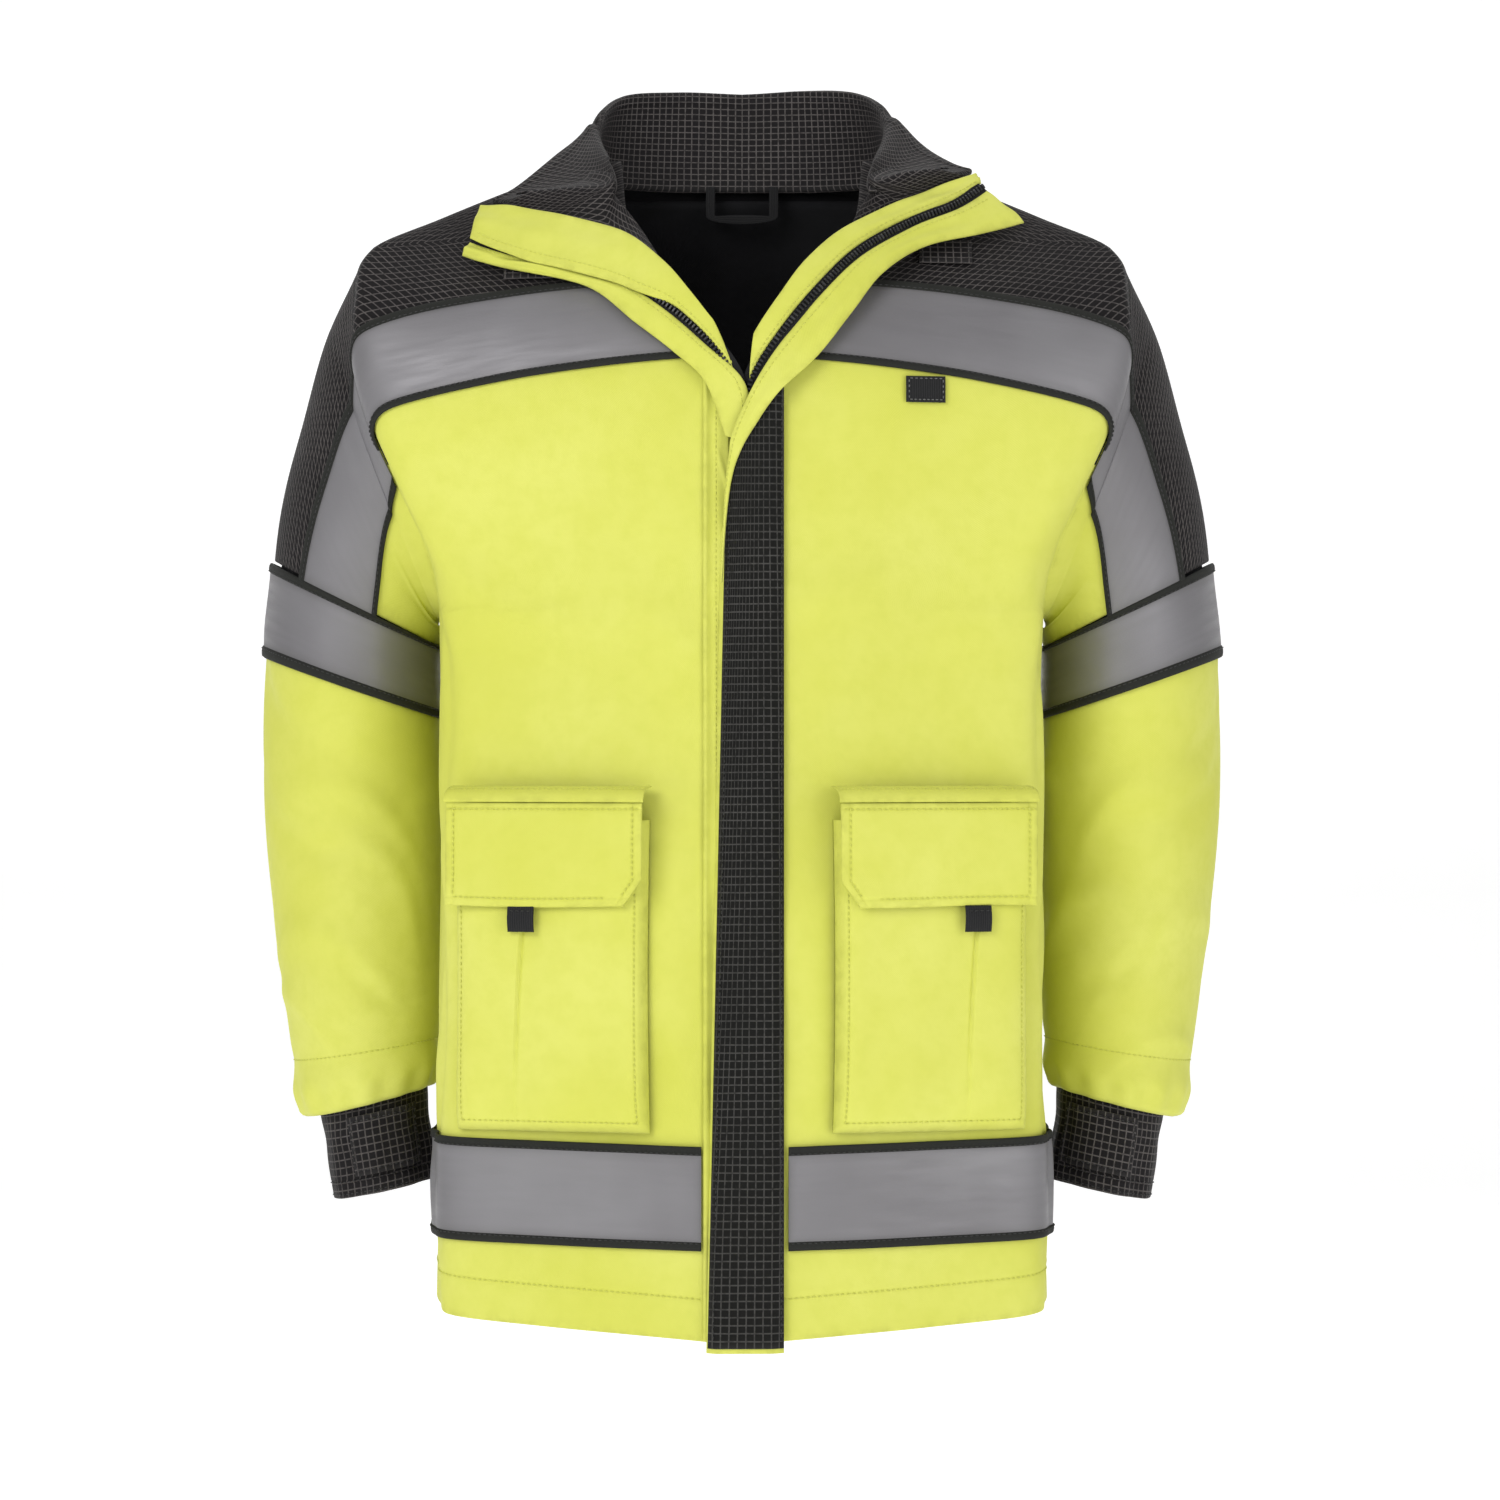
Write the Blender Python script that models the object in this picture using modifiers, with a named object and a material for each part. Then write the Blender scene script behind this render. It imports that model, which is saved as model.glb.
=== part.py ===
"""A high-visibility turnout coat, hollow as on its wearer, zipped to the chest with its collar open.

Metres, +Z up, front towards -Y. The origin is the base of the wearer's neck. The wearer's left is +X.
Heights are measured up from the hem. Every panel is a sheet on one of three shared surfaces: the
torso, the sleeves and the open collar. Layers sewn on top of each other are lifted off them.
"""

import math

import bmesh
import bpy
from mathutils import Matrix, Vector

RIGHT, LEFT = -1, 1
SIDES = ((RIGHT, "right"), (LEFT, "left"))
HEM = -0.700                 # level that heights are measured from, just below the hem
NECK_HEIGHT = 0.735          # where the collar is sewn on
ARMPIT_HEIGHT = 0.455
SHOULDER_HEIGHT = 0.676
V_HEIGHT = 0.585             # the front is open above this

SHELL = 0.0015               # shell cloth
THIN = 0.0010                # tape, tabs and lining cloth
HEM_HEIGHT = (0.0225, 0.0450, 0.0330)   # at the centre front, the side seam and the centre back
SEAM = 0.0012                # gap left between pieces sewn edge to edge
ON_SHELL = 0.0022            # lift of the outside of a layer sewn onto the shell
UNDER_SHELL = -0.0060        # lift of the outside of the lining
TAPE_WIDTH = 0.0615          # 50.8 mm of reflective tape with a black edging each side

# height, half width, front depth, back depth
TORSO = (
    (0.000, 0.1840, 0.150, 0.126),
    (0.200, 0.1820, 0.150, 0.126),
    (0.360, 0.1810, 0.150, 0.129),
    (0.455, 0.1830, 0.150, 0.132),
    (0.490, 0.1900, 0.150, 0.132),
    (0.530, 0.2080, 0.150, 0.131),
    (0.570, 0.2260, 0.149, 0.128),
    (0.610, 0.2360, 0.142, 0.122),
    (0.645, 0.2360, 0.124, 0.110),
    (0.676, 0.2275, 0.094, 0.093),
    (0.695, 0.1870, 0.078, 0.084),
    (0.715, 0.1400, 0.063, 0.076),
    (0.735, 0.0870, 0.052, 0.066),
)
# half of the level section, centre front to centre back, as shares of half width and depth
SECTION = (
    (0.00, -1.000), (0.26, -0.990), (0.62, -0.868), (0.94, -0.745), (0.99, -0.560), (1.00, -0.270),
    (0.965, 0.150), (0.85, 0.560), (0.60, 0.870), (0.28, 0.985), (0.00, 1.000),
)
ARMHOLE_CENTRE = 0.53        # share of the way round from centre front
ARMHOLE_REACH = 0.16
ARMHOLE_MIDDLE = (SHOULDER_HEIGHT + ARMPIT_HEIGHT) / 2
ARMHOLE_HALF = (SHOULDER_HEIGHT - ARMPIT_HEIGHT) / 2
GUSSET_LIFT = -0.0085
GUSSET_MARGIN = 0.003        # how far the gusset reaches under the panels
GUSSET_STATION = 0.14        # and how far under the sleeve
LINING_SPAN = (0.05, 0.722)   # lowest and highest edge of the lining
LINING_MARGIN = 0.010        # from the edge of the front opening
LINING_HOLE = (0.126, 0.100)   # half height and half depth of each armhole in the lining

# height, half width of the opening at the neck
NECKLINE = ((0.585, 0.004), (0.617, 0.022), (0.640, 0.035), (0.662, 0.053), (0.680, 0.064),
            (0.700, 0.070), (0.718, 0.072), (0.735, 0.074))
# distance from the centre, height of the seam below the yoke, under the middle of the chest tape
CHEST_SEAM = ((0.00, 0.630), (0.06, 0.6258), (0.09, 0.6222), (0.13, 0.6143), (0.168, 0.6030),
              (0.186, 0.5965), (0.207, 0.5845), (0.24, 0.5660))
CHEST_TAPE_RISE = 0.0490     # height covered by the tape where the chest leans back
BACK_TAPE_RISE = 0.0580
BACK_SEAM = 0.600
YOKE_TOP = 0.7315
COLLAR_OUTER_LIFT = -0.0078
HEM_TAPE_LIFT = 0.0030
HEM_TAPE_START = {RIGHT: 0.0235, LEFT: 0.0275}   # distance from the centre front
HEM_TAPE_HEIGHT = (0.0775, 0.0835)                # bottom edge at the centre front, at the side seam

# station down the arm, x, y, height, reach, depth, tilt in degrees from upright to level rings
SLEEVE = (
    (0, 0.2040, -0.012, 0.5655, 0.1130, 0.080, 12.0),
    (1, 0.2200, -0.006, 0.5430, 0.0968, 0.080, 19.9),
    (2, 0.2305, 0.002, 0.5080, 0.0744, 0.077, 34.9),
    (3, 0.2388, 0.010, 0.4620, 0.0575, 0.074, 63.1),
    (4, 0.2420, 0.016, 0.4105, 0.0578, 0.072, 70.3),
    (5, 0.2412, 0.020, 0.3200, 0.0559, 0.068, 85.0),
    (6, 0.2350, 0.012, 0.2200, 0.0490, 0.060, 95.0),
    (7, 0.2315, 0.004, 0.1540, 0.0425, 0.051, 103.0),
)
CUFF = (
    (0, 0.2315, 0.004, 0.1900, 0.0345, 0.042, 103.0),
    (1, 0.2275, 0.002, 0.1500, 0.0340, 0.041, 103.0),
    (2, 0.2205, 0.000, 0.1015, 0.0325, 0.038, 102.0),
)
# degrees round the sleeve from its top: at the armhole, then at the band
ALL_ROUND = ((0, 360), (0, 360))
FRONT_TAPE = ((68, 108), (55, 109))
BACK_TAPE = ((252, 292), (251, 305))
SLEEVE_TOP = (-88, 88)       # the black outer piece runs between the middles of the two tapes
SLEEVE_BAND_TOP = (-82, 82)
SLEEVE_START = 0.06          # stations
BAND_START = 3.0
BAND_END = 4.0
STRAP_SPAN = (66, 134)       # degrees round the cuff
STRAP_LIFT = 0.0042

BODY_LEVELS = (0.0, 0.25, 0.5, 0.735, 0.757, 0.775, 0.80, 0.84, 0.90, 0.95, 1.0)
YOKE_LEVELS = (0.0, 0.12, 0.24, 0.38, 0.52, 0.66, 0.78, 0.89, 1.0)
BAND_LEVELS = (0.0, 0.25, 0.5, 0.75, 1.0)
HEM_BAND_LEVELS = (0.0, 0.5, 1.0)
FRONT_COLUMNS = 10           # the same on stacked layers, so that they lie flat on each other
BACK_COLUMNS = 20
LINING_LEVELS = (0.0, 0.15, 0.3, 0.45, 0.57, 0.64, 0.7, 0.75, 0.8, 0.85, 0.9, 0.94, 0.97, 1.0)

# x, y, height along each edge, from the bottom of the opening outwards: wearer's right, then left
RIGHT_EDGE = ((-0.0080, -0.1555, 0.566), (-0.0215, -0.1545, 0.588), (-0.0400, -0.1515, 0.606),
              (-0.0640, -0.1440, 0.625), (-0.0900, -0.1270, 0.646), (-0.1280, -0.1120, 0.657),
              (-0.1520, -0.1010, 0.663), (-0.1680, -0.0930, 0.669))
RIGHT_ZIP = ((-0.0022, -0.1478, 0.566), (-0.0040, -0.1525, 0.590), (-0.0200, -0.1530, 0.613),
             (-0.0440, -0.1460, 0.634), (-0.0700, -0.1340, 0.650), (-0.1070, -0.1170, 0.661),
             (-0.1340, -0.1050, 0.668), (-0.1620, -0.0900, 0.680))
RIGHT_INNER = ((-0.0060, -0.1540, 0.606), (-0.0180, -0.1530, 0.625), (-0.0300, -0.1480, 0.642),
               (-0.0460, -0.1380, 0.661), (-0.0700, -0.1220, 0.679), (-0.1050, -0.1010, 0.690),
               (-0.1350, -0.0830, 0.697), (-0.1580, -0.0690, 0.699))
LEFT_EDGE = ((0.0040, -0.1640, 0.560), (0.0220, -0.1620, 0.582), (0.0450, -0.1560, 0.604),
             (0.0660, -0.1460, 0.631), (0.0840, -0.1310, 0.655), (0.1080, -0.1100, 0.672),
             (0.1420, -0.0900, 0.682), (0.1710, -0.0740, 0.691))
LEFT_ZIP = ((0.0022, -0.1478, 0.566), (0.0060, -0.1525, 0.590), (0.0225, -0.1530, 0.616),
            (0.0460, -0.1450, 0.644), (0.0700, -0.1270, 0.668), (0.1000, -0.1030, 0.687),
            (0.1280, -0.0840, 0.700), (0.1460, -0.0690, 0.713))
LEFT_INNER = ((0.0030, -0.1530, 0.606), (0.0090, -0.1530, 0.620), (0.0220, -0.1480, 0.640),
              (0.0380, -0.1380, 0.662), (0.0600, -0.1210, 0.682), (0.0900, -0.0960, 0.699),
              (0.1160, -0.0760, 0.711), (0.1420, -0.0600, 0.722))
# the open collar: its neck edge and its top edge, from each front corner round to the back
RIGHT_COLLAR_LOW = ((-0.1500, -0.0670, 0.702), (-0.1050, -0.0880, 0.702), (-0.0770, -0.0930, 0.704),
                    (-0.0800, -0.0650, 0.727), (-0.0920, -0.0180, 0.7345), (-0.0855, 0.0330, 0.7327),
                    (-0.0500, 0.0620, 0.7327), (0.0, 0.0685, 0.7327))
RIGHT_COLLAR_TOP = ((-0.1560, -0.0580, 0.704), (-0.1370, -0.0400, 0.7180), (-0.1150, -0.0170, 0.738),
                    (-0.0980, 0.0090, 0.755), (-0.0900, 0.0350, 0.773), (-0.0750, 0.0700, 0.787),
                    (-0.0430, 0.0950, 0.791), (0.0, 0.1020, 0.791))
LEFT_COLLAR_LOW = ((0.1350, -0.0590, 0.720), (0.1020, -0.0830, 0.713), (0.0770, -0.0930, 0.706),
                   (0.0800, -0.0650, 0.727), (0.0920, -0.0180, 0.7345), (0.0855, 0.0330, 0.7327),
                   (0.0500, 0.0620, 0.7327), (0.0, 0.0685, 0.7327))
LEFT_COLLAR_TOP = ((0.1450, -0.0460, 0.726), (0.1290, -0.0300, 0.733), (0.1140, -0.0110, 0.744),
                   (0.1000, 0.0110, 0.759), (0.0890, 0.0370, 0.777), (0.0715, 0.0700, 0.789),
                   (0.0400, 0.0950, 0.792), (0.0, 0.1020, 0.791))

FLAP_HINGE_X = 0.0250        # storm flap, sewn to the wearer's left front
FLAP_TOP_HEIGHT = 0.583
FLAP_BOTTOM = 0.0190
FLAP_FREE_TOP_HEIGHT = 0.500
FLAP_BASE_Y = -0.1535
FLAP_ARCH = 0.0040           # it stands proud over the zip
FLAP_FREE_X = (-0.0210, -0.0110)   # free edge at the hem and at its top

ZIP_Y = -0.1478
CHAIN_X = 0.0022
CHAIN_RADIUS = 0.0011
CHAIN_CLEAR = 0.0042         # from the middle of the chain to the cloth beside it
ZIP_GROOVE = 0.0065          # half gap between the fronts, where the zip runs
BOX_TOP = 0.042
SLIDER_HEIGHT = 0.556

POCKET_FACING = 16.5         # degrees that each pocket front turns away from straight ahead
POCKET_PIVOT = (0.1150, -0.1475, 0.3410)
POCKET_WIDTH = 0.122
FLAP_DEPTH = 0.061
POCKET_HEIGHT = 0.1845
POCKET_DEPTH = 0.0150
POCKET_MOUTH = 0.010         # below the flap's top edge
FLAP_Y = -0.0055             # the flap's plane, in front of the pocket
FLAP_THICKNESS = 0.0020
PULL_TAB_X = {RIGHT: -0.0135, LEFT: 0.0235}
HANGER = (0.0560, 0.728)     # the hanger loop's top edge

CLOTH = {}


def cloth(name, colour, roughness, metallic=0.0):
    """One Principled material, made once and shared."""
    if name not in CLOTH:
        made = bpy.data.materials.new(name)
        made.use_nodes = True
        shader = made.node_tree.nodes["Principled BSDF"]
        shader.inputs["Base Color"].default_value = (*colour, 1.0)
        shader.inputs["Roughness"].default_value = roughness
        shader.inputs["Metallic"].default_value = metallic
        CLOTH[name] = made
    return CLOTH[name]


def yellow():
    return cloth("hi_vis_yellow", (0.72, 0.82, 0.10), 0.75)


def grid_black():
    return cloth("black_ripstop", (0.018, 0.018, 0.020), 0.70)


def silver():
    return cloth("reflective_tape", (0.30, 0.30, 0.31), 0.45)


def lining_black():
    return cloth("black_lining", (0.012, 0.012, 0.013), 0.80)


def hook_black():
    return cloth("hook_and_loop", (0.010, 0.010, 0.011), 0.90)


def black_resin():
    return cloth("moulded_resin", (0.012, 0.012, 0.013), 0.40)


def slope_through(rows, key, value):
    """Value of a smooth curve through rows of (key, values...) at this key."""
    key = min(max(key, rows[0][0]), rows[-1][0])
    last = len(rows) - 1
    k = 0
    while k < last - 1 and key > rows[k + 1][0]:
        k += 1
    before, low, high, after = rows[max(k - 1, 0)], rows[k], rows[k + 1], rows[min(k + 2, last)]
    span = high[0] - low[0]
    t = (key - low[0]) / span
    rise = (high[value] - before[value]) / (high[0] - before[0]) * span
    run = (after[value] - low[value]) / (after[0] - low[0]) * span
    return (low[value] * (2 * t**3 - 3 * t**2 + 1) + rise * (t**3 - 2 * t**2 + t)
            + high[value] * (3 * t**2 - 2 * t**3) + run * (t**3 - t**2))


def along_curve(points, share):
    """Point at this share of a smooth curve through the points."""
    rows = [(k, *point) for k, point in enumerate(points)]
    station = share * (len(points) - 1)
    return Vector([slope_through(rows, station, axis) for axis in (1, 2, 3)])


def section_point(share):
    """Point of the half section, mirrored past its ends so that it crosses the centre squarely."""
    last = len(SECTION) - 1
    mirrored_ends = ((-1, -SECTION[1][0], SECTION[1][1]),)
    mirrored_ends += tuple((k, *point) for k, point in enumerate(SECTION))
    mirrored_ends += ((last + 1, -SECTION[last - 1][0], SECTION[last - 1][1]),)
    station = share * last
    return [slope_through(mirrored_ends, station, axis) for axis in (1, 2)]


def torso_point(around, height):
    """around is 0 at centre back, 1 or -1 at centre front, positive on the wearer's left."""
    side = RIGHT if around < 0 else LEFT
    across, along = section_point(1 - abs(around))
    depth = slope_through(TORSO, height, 2 if along < 0 else 3)
    return Vector((side * slope_through(TORSO, height, 1) * across, depth * along, height))


def torso(around, height, lift=0.0):
    """The torso surface, lifted outwards."""
    point = torso_point(around, height)
    if lift:
        step = 0.001
        across = torso_point(around + step, height) - torso_point(around - step, height)
        low, high = max(height - step, 0.0), min(height + step, NECK_HEIGHT)
        upwards = torso_point(around, high) - torso_point(around, low)
        normal = across.cross(upwards).normalized()
        if normal.dot(Vector((point.x, point.y, 0.0))) < 0:
            normal.negate()
        point += normal * lift
    return point


def around_at(x, height):
    """Where on the front half the torso is this far from the centre."""
    low, high = 0.5, 1.0
    for _ in range(30):
        middle = (low + high) / 2
        if abs(torso_point(middle, height).x) > abs(x):
            low = middle
        else:
            high = middle
    return math.copysign(low, x)


def armhole_reach(height):
    share = (height - ARMHOLE_MIDDLE) / ARMHOLE_HALF
    return ARMHOLE_REACH * math.sqrt(max(0.0, 1 - share * share))


def armhole_edge(side, height, facing, gap=SEAM):
    """The armhole seam, on the front with facing 1 and on the back with facing -1."""
    middle = 1 - ARMHOLE_CENTRE
    reach = armhole_reach(height)
    return side * (middle + facing * (reach + 2 * gap))


def neck_edge(side, height, margin=0.0):
    """The front opening: the zip's groove up to the V, then the neckline."""
    x = ZIP_GROOVE + margin
    if height > V_HEIGHT:
        x = max(x, slope_through(NECKLINE, height, 1) + margin)
    return around_at(side * x, height)


def add(name, body, mesh, material):
    """Puts a mesh into the coat under its own name."""
    made = bpy.data.objects.new(name, mesh)
    mesh.materials.clear()
    mesh.materials.append(material)
    COAT.objects.link(made)
    if body:
        made.parent = PIVOTS[body]
        made.matrix_parent_inverse = PIVOTS[body].matrix_world.inverted()
        offset = PIVOTS[body].location
        mesh.transform(Matrix.Translation(-offset))
        made.matrix_world = Matrix.Translation(offset)
    return made


def sheet(name, surface, columns, rows, thickness, material, body=None, closed=False):
    """A grid laid on surface(c, r, lift) for c and r from 0 to 1, thickened inwards."""
    grid = bmesh.new()
    bmesh.ops.create_grid(grid, x_segments=columns, y_segments=rows, size=0.5)
    shares = [(v, v.co.x + 0.5, v.co.y + 0.5) for v in grid.verts]
    for vertex, c, r in shares:
        vertex.co = surface(c, r, 0.0) + Vector((0, 0, HEM))
    if closed:
        bmesh.ops.remove_doubles(grid, verts=grid.verts, dist=0.00001)
    outwards = surface(0.45, 0.5, 0.002) - surface(0.45, 0.5, 0.0)
    here = surface(0.45, 0.5, 0.0) + Vector((0, 0, HEM))
    grid.normal_update()
    nearest = min(grid.faces, key=lambda face: (face.calc_center_median() - here).length)
    if nearest.normal.dot(outwards) < 0:
        bmesh.ops.reverse_faces(grid, faces=grid.faces)
    mesh = bpy.data.meshes.new(name)
    grid.to_mesh(mesh)
    grid.free()
    mesh.shade_smooth()
    made = add(name, body, mesh, material)
    solid = made.modifiers.new("thickness", "SOLIDIFY")
    solid.thickness = thickness
    solid.offset = -1.0
    solid.use_even_offset = False
    return made


def mix(low, high, share):
    return low + (high - low) * share


def torso_sheet(name, start, end, bottom, top, lift, columns, levels, thickness, material):
    """A torso panel from start(height) to end(height) round, and bottom(c) to top(c) up."""
    def surface(c, r, extra):
        level = r * (len(levels) - 1)
        k = min(int(level), len(levels) - 2)
        share = mix(levels[k], levels[k + 1], level - k)
        height = mix(bottom(c), top(c), share)
        return torso(mix(start(height), end(height), c), height, lift + extra)

    return sheet(name, surface, columns, len(levels) - 1, thickness, material)


def front_end(side, facing=1):
    """The side seam up to the armpit, then the armhole, then the shoulder seam."""
    def edge(height):
        if height <= ARMPIT_HEIGHT or height >= SHOULDER_HEIGHT:
            return side * (1 - ARMHOLE_CENTRE + facing * SEAM)
        near_armpit = max(0.0, 1 - (height - ARMPIT_HEIGHT) / 0.02)
        return armhole_edge(side, height, facing, SEAM + 0.0040 * near_armpit * (facing > 0))

    return edge


def level(height):
    return lambda c: height


def chest_seam(shift):
    """Height along the chest seam by share across, from the opening to the armhole."""
    return lambda c: slope_through(CHEST_SEAM, mix(0.03, 0.222, c), 1) + shift


def fronts():
    for side, word in SIDES:
        def opening(height, side=side):
            return neck_edge(side, height)

        def tape_start(height, side=side):
            return around_at(side * HEM_TAPE_START[side], height)

        half = CHEST_TAPE_RISE / 2
        pieces = (
            ("front_panel", opening, front_hem, chest_seam(-SEAM), 0.0, BODY_LEVELS, SHELL, yellow()),
            ("yoke", opening, chest_seam(SEAM), level(YOKE_TOP), 0.0, YOKE_LEVELS, SHELL, grid_black()),
            ("chest_tape", opening, chest_seam(-half), chest_seam(half), ON_SHELL, BAND_LEVELS, THIN,
             silver()),
            ("hem_tape", tape_start, hem_tape(0.0), hem_tape(TAPE_WIDTH), HEM_TAPE_LIFT,
             HEM_BAND_LEVELS, THIN, silver()),
        )
        for name, start, bottom, top, lift, levels, thickness, material in pieces:
            torso_sheet(f"{name}_{word}", start, front_end(side), bottom, top, lift, FRONT_COLUMNS,
                        levels, thickness, material)


def front_hem(c):
    return mix(*HEM_HEIGHT[:2], c)


def back_hem(c):
    return mix(HEM_HEIGHT[2], HEM_HEIGHT[1], (2 * c - 1) ** 2)


def hem_tape(shift):
    """Height along the front hem tape, which climbs towards the side seam."""
    return lambda c: mix(*HEM_TAPE_HEIGHT, c) + shift


def backs():
    right, left = front_end(RIGHT, -1), front_end(LEFT, -1)
    pieces = (
        ("back_panel", back_hem, BACK_SEAM - SEAM, 0.0, BODY_LEVELS, SHELL, yellow()),
        ("yoke_back", level(BACK_SEAM + SEAM), YOKE_TOP, 0.0, YOKE_LEVELS, SHELL, grid_black()),
        ("back_tape", level(BACK_SEAM - BACK_TAPE_RISE / 2), BACK_SEAM + BACK_TAPE_RISE / 2, ON_SHELL,
         BAND_LEVELS, THIN, silver()),
        ("hem_tape_back", level(HEM_TAPE_HEIGHT[1]), HEM_TAPE_HEIGHT[1] + TAPE_WIDTH, HEM_TAPE_LIFT,
         HEM_BAND_LEVELS, THIN, silver()),
    )
    for name, bottom, top, lift, levels, thickness, material in pieces:
        torso_sheet(name, right, left, bottom, level(top), lift, BACK_COLUMNS, levels, thickness,
                    material)


def ring_point(rows, side, station, angle):
    """Point of a tilted oval ring: angle 0 at the top or outside, 90 degrees at the front."""
    x, y, height, reach, depth, tilt = [slope_through(rows, station, k) for k in range(1, 7)]
    tilt = math.radians(tilt)
    out = Vector((math.sin(tilt), 0, math.cos(tilt))) * reach * math.cos(angle)
    point = Vector((x, y - depth * math.sin(angle), height)) + out
    return Vector((side * point.x, point.y, point.z))


def armhole_point(side, angle, lift=0.0, margin=0.0):
    """Point of the armhole seam: angle 0 at the shoulder, 90 degrees at the front."""
    height = ARMHOLE_MIDDLE + (ARMHOLE_HALF + margin) * math.cos(angle)
    around = side * (1 - ARMHOLE_CENTRE + (ARMHOLE_REACH + 2 * margin) * math.sin(angle))
    return torso(around, height, lift)


def sleeve_point(side, station, angle):
    """The sleeve leaves the armhole seam and settles into its own rings."""
    point = ring_point(SLEEVE, side, station, angle)
    if station < 1:
        start = armhole_point(side, angle) - ring_point(SLEEVE, side, 0, angle)
        point += start * (1 - station)
    return point


def lifted(place, station, angle, lift):
    """A point of a tube surface, moved out along its normal."""
    point = place(station, angle)
    if lift:
        down = place(station + 0.02, angle) - place(max(station - 0.02, 0.0), angle)
        turn = place(station, angle + 0.01) - place(station, angle - 0.01)
        normal = down.cross(turn).normalized()
        centre = (place(station, angle) + place(station, angle + math.pi)) / 2
        if normal.dot(point - centre) < 0:
            normal.negate()
        point = point + normal * lift
    return point


def tube_sheet(name, place, side, stations, degrees, lift, columns, rows, thickness, material, body):
    """Part of a sleeve or cuff: stations down the arm, and degrees round its first and last ring."""
    def surface(c, r, extra):
        start = mix(degrees[0][0], degrees[1][0], r)
        end = mix(degrees[0][1], degrees[1][1], r)
        angle = math.radians(mix(start, end, c))
        return lifted(lambda s, a: place(side, s, a), mix(*stations, r), angle, lift + extra)

    return sheet(name, surface, columns, rows, thickness, material, body, degrees == ALL_ROUND)


def cuff_point(side, station, angle):
    return ring_point(CUFF, side, station, angle)


def sleeves():
    upper, tape = (SLEEVE_START, BAND_START - 0.015), (0.10, BAND_START - 0.010)
    lower = (BAND_START + 0.005, 7.0)
    under = tuple((edge[1] + 1, edge[0] + 359) for edge in (SLEEVE_TOP, SLEEVE_BAND_TOP))
    for side, word in SIDES:
        parts = (
            ("upper_sleeve_outer", upper, (SLEEVE_TOP, SLEEVE_BAND_TOP), 0.0, 15, 6, SHELL, grid_black()),
            ("upper_sleeve_under", upper, under, 0.0, 15, 6, SHELL, yellow()),
            ("sleeve_tape_front", tape, FRONT_TAPE, ON_SHELL, 4, 6, THIN, silver()),
            ("sleeve_tape_back", tape, BACK_TAPE, ON_SHELL, 4, 6, THIN, silver()),
            ("sleeve_band", (BAND_START, BAND_END), ALL_ROUND, ON_SHELL, 20, 3, THIN, silver()),
            ("lower_sleeve", lower, ALL_ROUND, 0.0, 20, 9, SHELL, yellow()),
            ("sleeve_lining", (1.0, 6.3), ALL_ROUND, UNDER_SHELL, 16, 6, THIN, lining_black()),
        )
        for name, stations, degrees, lift, columns, rows, thickness, material in parts:
            tube_sheet(f"{name}_{word}", sleeve_point, side, stations, degrees, lift, columns,
                       rows, thickness, material, f"sleeve_{word}")
        tube_sheet(f"cuff_{word}", cuff_point, side, (0, 2), ALL_ROUND, 0.0, 20, 4, SHELL,
                   grid_black(), f"sleeve_{word}")
        tube_sheet(f"cuff_strap_{word}", cuff_point, side, (1.0, 1.75), (STRAP_SPAN, STRAP_SPAN),
                   STRAP_LIFT, 5, 2, SHELL, grid_black(), f"cuff_strap_{word}")


def armhole_gussets():
    """The ring of cloth inside each armhole seam that lets the sleeve swing out."""
    for side, word in SIDES:
        def surface(c, r, lift):
            angle = math.radians(360 * c)
            inner = armhole_point(side, angle, GUSSET_LIFT + lift, GUSSET_MARGIN)
            outer = lifted(lambda s, a: sleeve_point(side, s, a), GUSSET_STATION, angle,
                           GUSSET_LIFT + lift)
            return mix(inner, outer, r)

        sheet(f"armhole_gusset_{word}", surface, 26, 1, THIN, yellow(), None, True)


def ribbon(name, first, second, shares, gaps, columns, material):
    """A strip between two edge curves, drawn in by a gap from each."""
    def surface(c, r, lift):
        share = mix(*shares, c)
        low, high = along_curve(first, share), along_curve(second, share)
        across = (high - low).normalized()
        low, high = low + across * gaps[0], high - across * gaps[1]
        ahead = along_curve(first, min(share + 0.01, 1)) - along_curve(first, max(share - 0.01, 0))
        normal = ahead.cross(across).normalized()
        if normal.y > 0:
            normal.negate()
        return mix(low, high, r) + normal * lift

    return sheet(name, surface, columns, 2, SHELL, material)


def lapels():
    """Each lapel: the outer band, then the facing inside the zip."""
    edges = (("right", RIGHT_EDGE, RIGHT_ZIP, RIGHT_INNER),
             ("left", LEFT_EDGE, LEFT_ZIP, LEFT_INNER))
    for word, edge, zip_line, inner in edges:
        ribbon(f"lapel_flap_{word}", edge, zip_line, (0.0, 1.0), (0.0, CHAIN_CLEAR), 12, yellow())
        ribbon(f"lapel_facing_{word}", zip_line, inner, (0.20, 1.0), (CHAIN_CLEAR + 0.0015, 0.0), 12,
               yellow())


def collar_line(right, left, share):
    if share < 0.5:
        return along_curve(right, share * 2)
    return along_curve(left, 2 - share * 2)


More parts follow.
